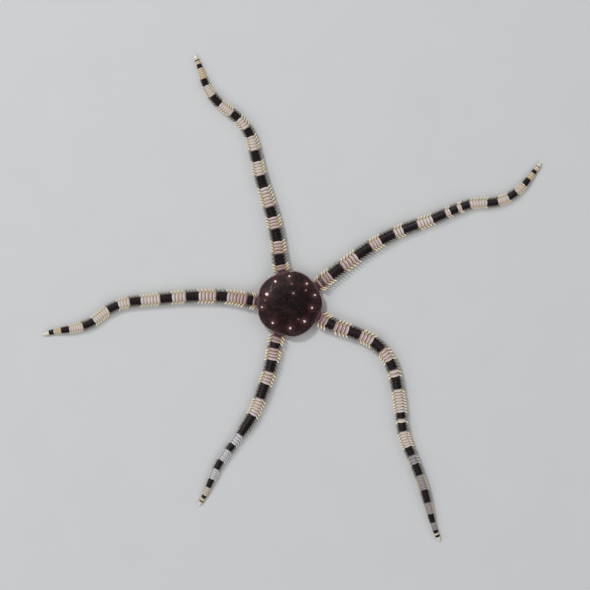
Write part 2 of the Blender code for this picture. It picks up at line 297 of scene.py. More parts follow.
# The camera looks straight down, and the disc's middle lies at this pixel of the picture
PIXEL = 0.303 * MM
FRAME_PIXELS = 590
DISC_PIXEL = (289.4, 303.8)
CAMERA_HEIGHT = 900 * MM
FOCUS_HEIGHT = 1.5 * MM
SENSOR = 36.0
FLOOR_HALF = 1.5
LIGHTS = (  # name, place, size, power, and whether it glints on wet skin
    ("key", (-0.40, 0.50, 0.75), 0.14, 4.2, True),
    ("soft_left", (-0.75, -0.25, 0.6), 0.6, 2.0, False),
    ("soft_right", (0.80, 0.15, 0.6), 0.6, 1.7, False),
    ("soft_front", (0.1, -0.85, 0.6), 0.6, 1.7, False),
)
SKY = (0.96, 0.98, 1.0, 1.0)
SKY_STRENGTH = 0.35


def smooth_step(value):
    """Rise from 0 to 1 with level ends."""
    value = np.clip(value, 0.0, 1.0)
    return value * value * (3 - 2 * value)


def hill(away, width):
    """1 in the middle, falling off evenly to both sides."""
    return np.exp(-((away / width) ** 2))


def upper(a, b, softness):
    """The greater of two, with a smooth turn from one to the other."""
    return (a + b + np.hypot(a - b, softness)) / 2


def turned(bearing, other):
    """Degrees from the other bearing to this one, within half a turn."""
    return (bearing - other + 180) % 360 - 180


class ArmLine:
    """An arm's middle line on the floor, walked in short steps that turn from one bearing to the next."""

    def __init__(self, name):
        arm = ARMS[name]
        self.name = name
        self.arm = arm
        self.length = arm["length"]
        self.regrown_from = arm.get("regrown_from", self.length)
        self.walked = np.linspace(0.0, self.length, round(self.length / WALK_STEP) + 1)
        turns = np.linspace(0.0, self.length, len(arm["bearings"]))
        self.heading = np.radians(np.interp(self.walked, turns, arm["bearings"]))
        middle = (self.heading[1:] + self.heading[:-1]) / 2
        stride = self.walked[1]
        ray = math.radians(arm["ray"])
        self.x = ARM_START * math.cos(ray) + stride * np.concatenate(([0.0], np.cumsum(np.cos(middle))))
        self.y = ARM_START * math.sin(ray) + stride * np.concatenate(([0.0], np.cumsum(np.sin(middle))))
        self.start = self.reaches(DISC_RADIUS - ARM_INSET)
        self.segments = self.cut_segments()
        self.inner_segments = self.cut_inner_segments()

    def reaches(self, radius):
        """How far along the line it comes this far from the disc's middle."""
        inner = len(self.walked) // 2
        return np.interp(radius, np.hypot(self.x, self.y)[:inner], self.walked[:inner])

    def bearing_at(self, radius):
        """The line's bearing from the disc's middle, in degrees, at each radius."""
        inner = len(self.walked) // 3
        bearings = np.degrees(np.unwrap(np.arctan2(self.y[:inner], self.x[:inner])))
        return np.interp(radius, np.hypot(self.x, self.y)[:inner], bearings)

    def place(self, s):
        """Points on the line, the directions forward and to the left, each a row, and the bearings."""
        s = np.atleast_1d(s)
        level = 0 * s
        heading = np.interp(s, self.walked, self.heading)
        x = np.interp(s, self.walked, self.x)
        y = np.interp(s, self.walked, self.y)
        forward = np.stack((np.cos(heading), np.sin(heading), level), axis=1)
        left = np.stack((-np.sin(heading), np.cos(heading), level), axis=1)
        return DISC_CENTRE + np.stack((x, y, level), axis=1), forward, left, heading

    def share(self, s):
        return np.maximum((s - self.start) / (self.length - self.start), 0.0)

    def width(self, s):
        u = self.share(s)
        closing = 1 - TIP_CLOSING * smooth_step((u - 1 + TIP_STRETCH) / TIP_STRETCH)
        thinner = 1 - self.arm.get("regrown_width", 1.0)
        closing = closing * (1 - thinner * smooth_step((s - self.regrown_from) / SEGMENT / 2))
        ridge = self.reaches(RIDGE_START)
        inner = RIDGE_WIDTH + (1 - RIDGE_WIDTH) * smooth_step((s - ridge) / (self.start - ridge))
        return ARM_WIDTH * (1 - ARM_TAPER * u**ARM_TAPER_POWER) * closing * inner

    def pitch(self, s):
        """The length of a segment, shorter towards the tip."""
        return SEGMENT * (1 - PITCH_TAPER * self.share(s) ** PITCH_POWER)

    def cut_segments(self):
        """Each segment's near end, far end and numbers for its finish. Each edge of a band has a joint."""
        cut = []
        near = self.start
        for number, length in enumerate(self.arm["bands"]):
            self.tip = near
            far = min(near + length * MM, self.length)
            count = max(1, round((far - near) / float(self.pitch((near + far) / 2))))
            joints = np.linspace(near, far, count + 1)
            pale = self.arm.get("faint", {}).get(number, FIRST_PALENESS if number == 0 else float(number % 2))
            grey = float(number in self.arm.get("greyish", ()))
            for order, (low, high) in enumerate(zip(joints, joints[1:])):
                cut.append((low, high, {
                    "pale": pale, "grey": grey, "phase": (order + 0.5) / count,
                    "share": float(self.share((low + high) / 2)),
                    "fresh": float(smooth_step((low - self.regrown_from) / SEGMENT)),
                }))
            near = far
        return cut

    def cut_inner_segments(self):
        """The same under the disc, from the mouth to its edge."""
        begin = self.reaches(RIDGE_START)
        count = round((self.start - begin) / SEGMENT * INNER_PITCH)
        joints = np.linspace(begin, self.start, count + 1)
        marks = {"pale": INNER_PALENESS, "grey": 0.0, "phase": 0.5, "share": 0.0, "fresh": 0.0}
        return [(low, high, marks) for low, high in zip(joints, joints[1:])]

    def outer_plated(self):
        """The segments outside the disc with plates of their own: all but those of the white last plate."""
        return [segment for segment in self.segments if segment[0] < self.tip]

    def plated(self):
        return self.inner_segments + self.outer_plated()


LINES = [ArmLine(name) for name in ARMS]


def section(angle):
    """An arm's section in shares of its half width and its height. The angle is 0 at the top of the back."""
    side = np.sin(angle)
    rise = np.cos(angle)
    across = np.sign(side) * np.abs(side) ** 0.85
    back = SECTION_MIDDLE + (1 - SECTION_MIDDLE) * np.abs(rise) ** 0.9
    up = np.where(rise > 0, back, SECTION_MIDDLE * (1 - np.abs(rise) ** 0.5))
    return across, up


# Meshes

def new_object(name, mesh, finish=None):
    made = bpy.data.objects.new(name, mesh)
    bpy.context.scene.collection.objects.link(made)
    if finish is not None:
        mesh.materials.clear()
        mesh.materials.append(finish)
    return made


def mesh_of(name, points, faces):
    mesh = bpy.data.meshes.new(name)
    mesh.from_pydata([tuple(point) for point in points], [], faces)
    mesh.shade_smooth()
    return mesh


def tube_mesh(name, rings, start, end):
    """A closed mesh of rings of points that run clockwise seen along it, with a point at each end."""
    around = len(rings[0])
    first, last = len(rings) * around, (len(rings) - 1) * around
    faces = []
    for near in range(0, last, around):
        for i in range(around):
            before = (i - 1) % around
            faces.append((near + before, near + i, near + around + i, near + around + before))
    for i in range(around):
        before = (i - 1) % around
        faces.append((first, i, before))
        faces.append((first + 1, last + before, last + i))
    return mesh_of(name, np.concatenate([np.concatenate(rings), [start, end]]), faces)


def coordinates(mesh):
    flat = np.empty(len(mesh.vertices) * 3, np.float32)
    mesh.vertices.foreach_get("co", flat)
    return flat.reshape(-1, 3).astype(float)


def set_number(mesh, name, values):
    attribute = mesh.attributes.new(name, "FLOAT", "POINT")
    attribute.data.foreach_set("value", np.asarray(values, np.float32))


def set_vector(mesh, name, values):
    attribute = mesh.attributes.new(name, "FLOAT_VECTOR", "POINT")
    attribute.data.foreach_set("vector", np.asarray(values, np.float32).ravel())


def turn_outwards(mesh):
    bm = bmesh.new()
    bm.from_mesh(mesh)
    bmesh.ops.recalc_face_normals(bm, faces=bm.faces)
    bm.to_mesh(mesh)
    bm.free()


def evaluated_mesh(holder, **options):
    graph = bpy.context.evaluated_depsgraph_get()
    return bpy.data.meshes.new_from_object(holder.evaluated_get(graph), depsgraph=graph, **options)


def united(name, meshes):
    """One mesh of the closed shells given, without what lies inside another."""
    body, *others = [new_object(mesh.name, mesh) for mesh in meshes]
    for other in others:
        modifier = body.modifiers.new(other.name, "BOOLEAN")
        modifier.operation = "UNION"
        modifier.solver = "EXACT"
        modifier.object = other
    mesh = evaluated_mesh(body)
    for made in [body, *others]:
        bpy.data.objects.remove(made, do_unlink=True)
    mesh.name = name
    mesh.shade_smooth()
    return mesh


def joined(name, meshes):
    """One mesh of several, each keeping its numbers."""
    holders = [new_object(mesh.name, mesh) for mesh in meshes]
    bpy.ops.object.select_all(action="DESELECT")
    for holder in holders:
        holder.select_set(True)
    bpy.context.view_layer.objects.active = holders[0]
    bpy.ops.object.join()
    mesh = holders[0].data
    bpy.data.objects.remove(holders[0], do_unlink=True)
    mesh.name = name
    return mesh


def side_by_side(name, meshes):
    """One mesh of several, whose bake maps share the square from left to right."""
    for number, mesh in enumerate(meshes):
        layer = mesh.uv_layers["OFBake"]
        flat = np.empty(len(mesh.loops) * 2, np.float32)
        layer.uv.foreach_get("vector", flat)
        spots = flat.reshape(-1, 2)
        spots[:, 0] = (spots[:, 0] + number) / len(meshes)
        layer.uv.foreach_set("vector", spots.ravel())
    return joined(name, meshes)


# The skin

def arm_core(line):
    """The skin of one arm, from the mouth to the tip, pinched at the joints between its plates."""
    stations = list(np.linspace(line.reaches(RIDGE_START), line.start, 9)[:-1])
    depths = [SKIN_DEPTH] * len(stations)
    for near, far, _ in line.outer_plated():
        stations += [near, near + (far - near) * 0.25, near + (far - near) * 0.75]
        depths += [JOINT_DEPTH, SKIN_DEPTH, SKIN_DEPTH]
    stations = np.array(stations + [line.tip, line.tip + TIP_CORE])
    depths = np.array(depths + [JOINT_DEPTH, SKIN_DEPTH])
    across, up = section(TURN * np.arange(ROUND_ARM) / ROUND_ARM)
    points, _, left, _ = line.place(stations)
    width = line.width(stations)
    rings = []
    for point, side, wide, depth in zip(points, left, width, depths):
        half = wide / 2 - depth
        height = wide * ARM_HEIGHT_TO_WIDTH
        level = depth + up * (height - 2 * depth)
        rings.append(point - across[:, None] * side * half + level[:, None] * np.array((0, 0, 1.0)))
    tip, forward, _, _ = line.place(line.length)
    end = tip[0] + np.array((0, 0, 0.4)) * line.width(line.length) - forward[0] * SKIN_DEPTH
    middle = points[0] + np.array((0, 0, 0.5)) * width[0]
    return tube_mesh(f"core_{line.name}", rings, middle, end)


def beside_arms(bearing, radius):
    """Distance from the nearest arm's line, along the circle of this radius."""
    nearest = np.full(np.broadcast(bearing, radius).shape, 1.0)
    for line in LINES:
        off = turned(bearing, line.bearing_at(radius))
        nearest = np.minimum(nearest, np.abs(np.radians(off)) * radius)
    return nearest


def arm_nearness(bearing, spread):
    near = 0.0
    for line in LINES:
        near = near + hill(turned(bearing, line.bearing_at(DISC_RADIUS)), spread)
    return np.minimum(near, 1.0)


def knob_field(bearing, radius, width):
    """1 at each knob of the disc, falling off round it."""
    field = 0.0
    for place, size, at in KNOBS:
        angle = np.radians(at - bearing)
        away = np.hypot(radius - place * MM * np.cos(angle), place * MM * np.sin(angle))
        field = field + hill(away, width * size)
    return np.minimum(field, 1.0)


def disc_edge(bearing):
    """The radius of the disc's edge: five faint lobes, a tongue over each arm and a notch beside it."""
    aside = beside_arms(bearing, DISC_RADIUS)
    lobes = LOBE * np.cos(np.radians(RAYS * (bearing - FIRST_RAY)))
    tongue = TONGUE * np.exp(-((aside / TONGUE_WIDTH) ** TONGUE_ROUNDNESS))
    return PLAIN_RADIUS - lobes + tongue - NOTCH * hill(aside - NOTCH_PLACE, NOTCH_WIDTH)


def arm_roof(bearing, radius):
    """Height of the skin that lies over an arm, low away from the arms."""
    roof = 0.0
    for line in LINES:
        width = line.width(line.reaches(radius))
        off = turned(bearing, line.bearing_at(radius))
        aside = np.abs(np.radians(off)) * radius / (width / 2 + TONGUE_THICKNESS)
        arch = TONGUE_EDGE + (1 - TONGUE_EDGE) * np.sqrt(np.clip(1 - aside**2, 0, 1))
        roof = np.maximum(roof, (width * ARM_HEIGHT_TO_WIDTH + TONGUE_THICKNESS) * arch * (aside < 1))
    return roof


def rim_height(bearing):
    """Height of the disc's edge: level between the arms, lower in the notches, and up over each arm."""
    notch = hill(beside_arms(bearing, DISC_RADIUS) - NOTCH_PLACE, NOTCH_WIDTH)
    return upper(RIM_HEIGHT - NOTCH_DROP * notch, arm_roof(bearing, disc_edge(bearing)), RIM_SOFTNESS)


def rim_cord(bearing):
    """Thickness of the cord along the disc's edge, which fades out at the arms."""
    between = smooth_step(beside_arms(bearing, DISC_RADIUS) / CORD_FADE - 0.6)
    return RIM_CORD * (CORD_LEAST + (1 - CORD_LEAST) * between)


def disc_radius(bearing, share):
    """The distance from the middle: round inside, and following the edge only near it."""
    following = smooth_step((share - OUTLINE_FROM) / (1 - OUTLINE_FROM))
    return share * (PLAIN_RADIUS + (disc_edge(bearing) - PLAIN_RADIUS) * following)


def disc_back(bearing, share):
    """Height of the disc's back: a dome with a round shoulder between the arms and a slope to each arm."""
    plain = RIM_HEIGHT - 0.1 * MM
    rim = plain + (rim_height(bearing) - plain) * smooth_step((share - SHOULDER_FROM) / (1 - SHOULDER_FROM))
    slope = arm_nearness(bearing, ARM_SLOPE_SPREAD) * smooth_step((share - ARM_SLOPE_FROM) / 0.5)
    height = rim + (DISC_HEIGHT - rim) * (1 - share**DOME_SQUARENESS) ** (DOME_POWER + ARM_SLOPE * slope)
    bed = knob_field(bearing, disc_radius(bearing, share), KNOB_BED_WIDTH)
    height += KNOB_BED * bed * smooth_step((1 - share) / 0.08)
    return height - MIDDLE_DIP * hill(share, MIDDLE_DIP_WIDTH)


def back_at(bearing, share):
    """The height of the disc's back at one place."""
    return float(disc_back(np.array(float(bearing)), np.array(share)))


def slit_span(radius):
    """1 along the slits beside the arms, 0 past their ends."""
    near, far = SLIT_SPAN
    return smooth_step((radius - near) / MM + 0.5) * (1 - smooth_step((radius - far) / MM + 0.5))


def disc_sole(bearing, share):
    """Height of the disc's underside, with a slit on each side of each arm."""
    radius = disc_edge(bearing) * share
    rim = rim_height(bearing) - 2 * rim_cord(bearing)
    height = UNDERSIDE_HEIGHT + (rim - UNDERSIDE_HEIGHT) * (1 - (1 - share**7) ** 0.55)
    fading, over = MOUTH_SWELL_END
    height -= MOUTH_SWELL * (1 - smooth_step((radius - fading) / over))
    away = beside_arms(bearing, radius) - SLIT_PLACE
    lips = hill(away - 2 * SLIT_WIDTH, SLIT_WIDTH) + hill(away + 1.7 * SLIT_WIDTH, LIP_WIDTH)
    return height + (SLIT_DEPTH * hill(away, SLIT_WIDTH) - LIP_HEIGHT * lips) * slit_span(radius)


def disc_shell():
    """The disc as one closed shell of rings, from the mouth's roof round the rim to the top of the back."""
    bearing = np.arange(COLUMNS) * 360 / COLUMNS
    angle = np.radians(bearing)
    mouth = MOUTH_RADIUS / DISC_RADIUS
    rings = []

    def ring(radius, height):
        around = np.stack((radius * np.cos(angle), radius * np.sin(angle), height), axis=1)
        rings.append(around + DISC_CENTRE)

    level = np.ones(COLUMNS)
    for share in (0.12, 0.3):
        ring(DISC_RADIUS * share * level, MOUTH_ROOF * level)
    for drop in (0.0, 0.5, 0.9):
        height = MOUTH_ROOF - drop * (MOUTH_ROOF - UNDERSIDE_HEIGHT)
        ring(DISC_RADIUS * (mouth - 0.012 * (1 - drop)) * level, height * level)
    for share in (mouth + (1 - mouth) * np.sin(np.linspace(0, 1, SOLE_RINGS) * math.pi / 2))[1:-1]:
        ring(disc_radius(bearing, share), disc_sole(bearing, share))
    edge = disc_edge(bearing)
    cord = rim_cord(bearing)
    for turn in np.linspace(-math.pi / 2, math.pi / 2, CORD_RINGS):
        ring(edge + cord * math.cos(turn), rim_height(bearing) + cord * (math.sin(turn) - 1))
    for share in np.sin(np.linspace(0, 1, BACK_RINGS) * math.pi / 2)[::-1][1:-1]:
        ring(disc_radius(bearing, share), disc_back(bearing, share))
    roof = DISC_CENTRE + np.array((0, 0, MOUTH_ROOF))
    top = DISC_CENTRE + np.array((0, 0, back_at(0, 0.0)))
    return tube_mesh("disc_shell", rings, roof, top)


def wrinkle(mesh):
    """Raise and sink the disc's skin a little, unevenly, as soft skin lies over its plates."""
    points = coordinates(mesh)
    offset = points - DISC_CENTRE
    radius = np.hypot(offset[:, 0], offset[:, 1])
    fading = 1 - smooth_step((radius - WRINKLED) / MM)
    for number in np.flatnonzero((fading > 0) & (offset[:, 2] > 0.5 * MM)):
        place = Vector(points[number]) / WRINKLE_SIZE
        points[number, 2] += WRINKLE * fading[number] * noise.fractal(place, *WRINKLE_ROUGHNESS)
    mesh.vertices.foreach_set("co", points.astype(np.float32).ravel())
    mesh.update()


def along_arms(offset):
    """For each point: the nearest arm's number, how far along its line it lies, and how far to its left."""
    best = np.full(len(offset), np.inf)
    number = np.zeros(len(offset), int)
    along = np.zeros(len(offset))
    aside = np.zeros(len(offset))
    batch = 20000
    for order, line in enumerate(LINES):
        samples = np.stack((line.x, line.y), axis=1)
        for low in range(0, len(offset), batch):
            part = offset[low : low + batch, :2]
            away = ((part[:, None] - samples[None]) ** 2).sum(2)
            nearest = away.argmin(1)
            least = away[np.arange(len(part)), nearest]
            heading = line.heading[nearest]
            ahead, left = np.cos(heading), np.sin(heading)
            gap = part - samples[nearest]
            closer = least < best[low : low + batch]
            where = np.flatnonzero(closer) + low
            best[where] = least[closer]
            number[where] = order
            along[where] = (line.walked[nearest] + gap[:, 0] * ahead + gap[:, 1] * left)[closer]
            aside[where] = (-gap[:, 0] * left + gap[:, 1] * ahead)[closer]
    return number, along, aside


def mark_skin(mesh, offset, number, along, aside):
    """Numbers on the skin that its finish reads: paleness, the arms, the rim, the knobs and the underside."""
    radius = np.hypot(offset[:, 0], offset[:, 1])
    bearing = np.degrees(np.arctan2(offset[:, 1], offset[:, 0]))
    height = offset[:, 2]
    pale = np.zeros(len(offset))
    share = np.zeros(len(offset))
    for order, line in enumerate(LINES):
        mine = number == order
        ends = np.array([segment[1] for segment in line.segments])
        light = np.array([segment[2]["pale"] for segment in line.segments])
        at = np.searchsorted(ends, along[mine]).clip(0, len(ends) - 1)
        pale[mine] = light[at]
        share[mine] = line.share(along[mine])

    def past(value, begin, over):
        return smooth_step((value - begin) / over)

    on_arm = past(radius, *ARM_SKIN_FROM) * (1 - past(np.abs(aside), *ARM_SKIN_EDGE))
    on_sole_ridge = (height < SOLE_RIDGE[0]) & (radius < SOLE_RIDGE[1])
    cord = rim_cord(bearing)
    outside = (radius - disc_edge(bearing)) / cord
    rim = smooth_step(outside * 1.5 + 1.0) * smooth_step((height - RIM_HEIGHT) / cord / 0.8 + 2.6)
    rim = rim * smooth_step(cord / RIM_CORD * 1.6 - 0.5) * (radius < RIM_MARK_END)
    under = smooth_step((UNDER_MARK_TOP[0] - height) / UNDER_MARK_TOP[1])
    slit = hill(np.abs(aside) - SLIT_PLACE, SLIT_MARK_WIDTH) * slit_span(radius)
    set_number(mesh, "pale", pale * on_arm)
    set_number(mesh, "share", share)
    set_number(mesh, "on_arm", np.maximum(on_arm, on_sole_ridge * 0.5))
    set_number(mesh, "rim", rim)
    set_number(mesh, "knob", knob_field(bearing, radius, KNOB_HALO_WIDTH) * (height > RIM_HEIGHT))
    set_number(mesh, "under", under * (radius < UNDER_MARK_END))
    set_number(mesh, "outward", radius / DISC_RADIUS)
    set_number(mesh, "slit", slit * (height < SLIT_MARK_TOP))


def per_face(mesh, name, kind, width=1):
    values = np.empty(len(mesh.polygons) * width, kind)
    mesh.polygons.foreach_get(name, values)
    return values.reshape(-1, width) if width > 1 else values


def lay_out_skin(mesh, offset, number, along, aside):
    """The bake's map: the back of the disc, its underside, and each arm unrolled into a strip."""
    corners = np.empty(len(mesh.loops), np.int32)
    mesh.loops.foreach_get("vertex_index", corners)
    first = per_face(mesh, "loop_start", np.int32)
    count = per_face(mesh, "loop_total", np.int32)
    normal = per_face(mesh, "normal", np.float32, 3)
    face = np.repeat(np.arange(len(first)), count)
    middle = np.add.reduceat(offset[corners], first) / count[:, None]
    arm_face = np.hypot(middle[:, 0], middle[:, 1]) > ARM_STRIPS_FROM
    down_face = ~arm_face & ((normal[:, 2] < -0.05) | (middle[:, 2] < UNDERSIDE_TOP))
    half = np.array([line.width(line.start) for line in LINES]).mean() / 2

    def angle_at(aside, height):
        return np.arctan2(aside / half, (height - half * 0.8) / half)

    angle = angle_at(aside, offset[:, 2])[corners]
    face_angle = angle_at(np.add.reduceat(aside[corners], first) / count, middle[:, 2])[face]
    angle = np.where(angle - face_angle > math.pi, angle - TURN, angle)
    angle = np.where(face_angle - angle > math.pi, angle + TURN, angle)
    face_arm = number[corners[first]][face]
    strip = 0.5 / RAYS
    lengths = np.array([line.length for line in LINES])
    uv = np.zeros((len(corners), 2))
    uv[:, 0] = along[corners] / lengths[face_arm] * 0.98 + 0.01
    uv[:, 1] = strip * (face_arm + 0.5 + angle / TURN * 0.9)
    top = ~arm_face & ~down_face
    spot = offset[corners, :2] / (2 * MAP_REACH)
    for chosen, centre in ((top, 0.25), (down_face, 0.75)):
        here = chosen[face]
        uv[here, 0] = centre + spot[here, 0] * MAP_SHARE
        uv[here, 1] = 0.755 + spot[here, 1] * MAP_SHARE
    layer = mesh.uv_layers.new(name="OFBake", do_init=False)
    layer.uv.foreach_set("vector", uv.astype(np.float32).ravel())


# Rows of small parts

def rows_tree():
    """Geometry nodes that set one part on every point of a mesh, turned and sized by the point's numbers."""
    tree = bpy.data.node_groups.new("rows_of_parts", "GeometryNodeTree")
    nodes, links = tree.nodes, tree.links

    def socket(name, kind, way="INPUT", value=None):
        made = tree.interface.new_socket(name=name, in_out=way, socket_type=kind)
        if value is not None:
            made.default_value = value

    def node(kind, settings=None, **inputs):
        made = nodes.new(kind)
        for key, value in (settings or {}).items():
            setattr(made, key, value)
        for key, value in inputs.items():
            target = next(i for i in made.inputs if i.name == key.replace("_", " ") and i.enabled)
            if isinstance(value, bpy.types.NodeSocket):
                links.new(value, target)
            else:
                target.default_value = value
        return made

    def named(name):
        made = node("GeometryNodeInputNamedAttribute", {"data_type": "FLOAT_VECTOR"}, Name=name)
        return next(o for o in made.outputs if o.name == "Attribute" and o.enabled)

    def vector(operation, a, b):
        made = node("ShaderNodeVectorMath", {"operation": operation})
        for target, value in zip(made.inputs, (a, b)):
            links.new(value, target)
        return made.outputs[0]

    socket("Geometry", "NodeSocketGeometry")
    socket("Part", "NodeSocketObject")
    socket("Finish", "NodeSocketMaterial")
    socket("Wobble", "NodeSocketFloat", value=0.0)
    socket("Seed", "NodeSocketInt", value=1)
    socket("Patch", "NodeSocketVector", value=(1.0, 1.0, 0.0))
    socket("Geometry", "NodeSocketGeometry", "OUTPUT")
    given = node("NodeGroupInput").outputs
    own = {"transform_space": "ORIGINAL"}
    part = node("GeometryNodeObjectInfo", own, Object=given["Part"], As_Instance=True)
    nothing = vector("SUBTRACT", given["Patch"], given["Patch"])
    wobble = node(
        "FunctionNodeRandomValue", {"data_type": "FLOAT_VECTOR"},
        Min=vector("SUBTRACT", nothing, given["Wobble"]), Max=given["Wobble"], Seed=given["Seed"],
    )
    turn = node("FunctionNodeEulerToRotation", Euler=vector("ADD", named("turn"), wobble.outputs[0]))
    placed = node(
        "GeometryNodeInstanceOnPoints", Points=given["Geometry"],
        Instance=part.outputs["Geometry"], Rotation=turn.outputs[0], Scale=named("size"),
    )
    solid = node("GeometryNodeRealizeInstances", Geometry=placed.outputs[0])
    spot = vector("ADD", named("patch"), vector("MULTIPLY", named("local"), given["Patch"]))
    stored = node(
        "GeometryNodeStoreNamedAttribute", {"data_type": "FLOAT2", "domain": "CORNER"},
        Geometry=solid.outputs[0], Name="OFBake", Value=spot,
    )
    finished = node("GeometryNodeSetMaterial", Geometry=stored.outputs[0], Material=given["Finish"])
    links.new(finished.outputs[0], node("NodeGroupOutput").inputs[0])
    return tree


ROWS = rows_tree()


class Row:
    """Places for one kind of small part, with the numbers that its finish reads."""

    def __init__(self):
        self.points = []
        self.turns = []
        self.sizes = []
        self.numbers = []

    def add(self, point, turn, size, **numbers):
        self.points.append(tuple(point))
        self.turns.append(tuple(turn))
        self.sizes.append(tuple(size))
        self.numbers.append(numbers)

    def build(self, name, part, finish, wobble=0.0, seed=1, aspect=1.0):
        """Set the part on every place, and return the plain mesh."""
        count = len(self.points)
        columns = max(1, math.ceil(math.sqrt(count * aspect)))
        lines = math.ceil(count / columns)
        order = np.arange(count)
        column, line = order % columns, order // columns
        cell = ((column + PATCH_INSET) / columns, (line + PATCH_INSET) / lines, 0 * order)
        cloud = bpy.data.meshes.new(name)
        cloud.from_pydata(self.points, [], [])
        set_vector(cloud, "turn", self.turns)
        set_vector(cloud, "size", self.sizes)
        set_vector(cloud, "patch", np.stack(cell, axis=1))
        for key in self.numbers[0]:
            set_number(cloud, key, [numbers[key] for numbers in self.numbers])
        holder = new_object(name, cloud)
        template = new_object(f"{name}_part", part)
        modifier = holder.modifiers.new("rows", "NODES")
        modifier.node_group = ROWS
        patch = ((1 - 2 * PATCH_INSET) / columns, (1 - 2 * PATCH_INSET) / lines, 0.0)
        values = {"Part": template, "Finish": finish, "Wobble": wobble, "Seed": seed, "Patch": patch}
        for item in ROWS.interface.items_tree:
            if item.in_out == "INPUT" and item.name in values:
                modifier[item.identifier] = values[item.name]
        mesh = evaluated_mesh(holder, preserve_all_data_layers=True)
        for made in (holder, template):
            bpy.data.objects.remove(made, do_unlink=True)
        for spent in (cloud, part):
            bpy.data.meshes.remove(spent)
        for spare in ("turn", "size", "patch", "local"):
            if spare in mesh.attributes:
                mesh.attributes.remove(mesh.attributes[spare])
        mesh.name = name
        return mesh


def evenly(count, edge, shoulder):
    """Columns of a plate: a level middle with an edge that turns down on both sides."""
    inset = 2.5 * edge
    middle = [(float(a), 1.0) for a in np.linspace(inset, 1 - inset, count)]
    near = [(0.0, TUCKED), (edge * 0.2, 0.3), (edge, shoulder)]
    far = [(1 - a, rise) for a, rise in reversed(near)]
    return near + middle + far


def plate_part(name, span, reach, thickness, bulge, columns, rows, narrowing=0.0, flare=0.0):
    """A plate that follows the arm's section between two angles.

    Columns and rows each pair a share across or along the plate with its rise, in shares of the thickness.
    A rise below 0 is tucked into the skin. The far edge is bulged, and it may flare outwards.
    """
    wide, tall = len(columns), len(rows)
    points, marks = [], []
    for b, rise in rows:
        for a, fall in columns:
            side = 2 * a - 1
            squeeze = 1 - narrowing * (1 - b)
            angle = math.radians(span[0] + (span[1] - span[0]) * (0.5 + side * squeeze / 2))
            across, up = (float(v) for v in section(np.array(angle)))
            least = min(rise, fall)
            lift = thickness * (least if least < 0 else rise * fall) + flare * b * b
            far = reach[1] + bulge * (1 - side * side)
            near = reach[0] + bulge * 0.6 * (1 - side * side)
            size = math.hypot(across, up - SECTION_MIDDLE)
            outward, upward = across / size, (up - SECTION_MIDDLE) / size
            level = max(up + upward * lift * 1.3, 0.0)
            points.append((near + (far - near) * b, across + outward * lift, level))
            marks.append((b, side))
    faces, kinds = [], []

    def corner(i, j):
        return j * wide + i

    for j in range(tall - 1):
        for i in range(wide - 1):
            faces.append((corner(i, j), corner(i, j + 1), corner(i + 1, j + 1), corner(i + 1, j)))
            kinds.append("back")
    for i in range(wide - 1):
        low = [corner(i, 0), corner(i + 1, 0)]
        high = [corner(i + 1, tall - 1), corner(i, tall - 1)]
        right = [corner(wide - 1, j) for j in range(1, tall - 1)] if i == wide - 2 else []
        left = [corner(0, j) for j in range(tall - 2, 0, -1)] if i == 0 else []
        faces.append(tuple(low + right + high + left))
        kinds.append("inside")
    mesh = mesh_of(name, points, faces)
    set_number(mesh, "along", [mark[0] for mark in marks])
    set_number(mesh, "across", [mark[1] for mark in marks])
    layer = mesh.uv_layers.new(name="local", do_init=False)
    for polygon, kind in zip(mesh.polygons, kinds):
        for loop in polygon.loop_indices:
            b, side = marks[mesh.loops[loop].vertex_index]
            v = b * 0.88 if kind == "back" else 0.92 + 0.08 * b
            layer.uv[loop].vector = ((side + 1) / 2, v)
    turn_outwards(mesh)
    return mesh


def spine_part(name, profile, around, bend):
    """A spine along +X from a swollen foot to a blunt tip, bent a little to one side."""
    angle = TURN * np.arange(around) / around
    rings, marks = [], []
    for along, thick in profile:
        across = np.cos(angle) * thick / 2 + bend * along * along
        rings.append(np.stack((np.full(around, along), across, np.sin(angle) * thick / 2), axis=1))
        marks += [along] * around
    foot = profile[0][0]
    mesh = tube_mesh(name, rings, np.array((foot, 0.0, 0.0)), np.array((1.0, bend, 0.0)))
    set_number(mesh, "along", marks + [foot, 1.0])
    set_number(mesh, "across", [0.0] * (len(marks) + 2))
    layer = mesh.uv_layers.new(name="local", do_init=False)
    for polygon in mesh.polygons:
        loops = list(polygon.loop_indices)
        turns = [(mesh.loops[loop].vertex_index % around) / around for loop in loops]
        body = [mesh.loops[loop].vertex_index < len(marks) for loop in loops]
        low = min(t for t, b in zip(turns, body) if b)
        for loop, turn, inside in zip(loops, turns, body):
            vertex = mesh.vertices[mesh.loops[loop].vertex_index]
            u = turn if turn - low < 0.5 else turn - 1
            u = u if inside else low + 0.5 / around
            layer.uv[loop].vector = ((u + 1 / around) / (1 + 1 / around), min(max(vertex.co.x, 0.0), 1.0))
    turn_outwards(mesh)
    return mesh


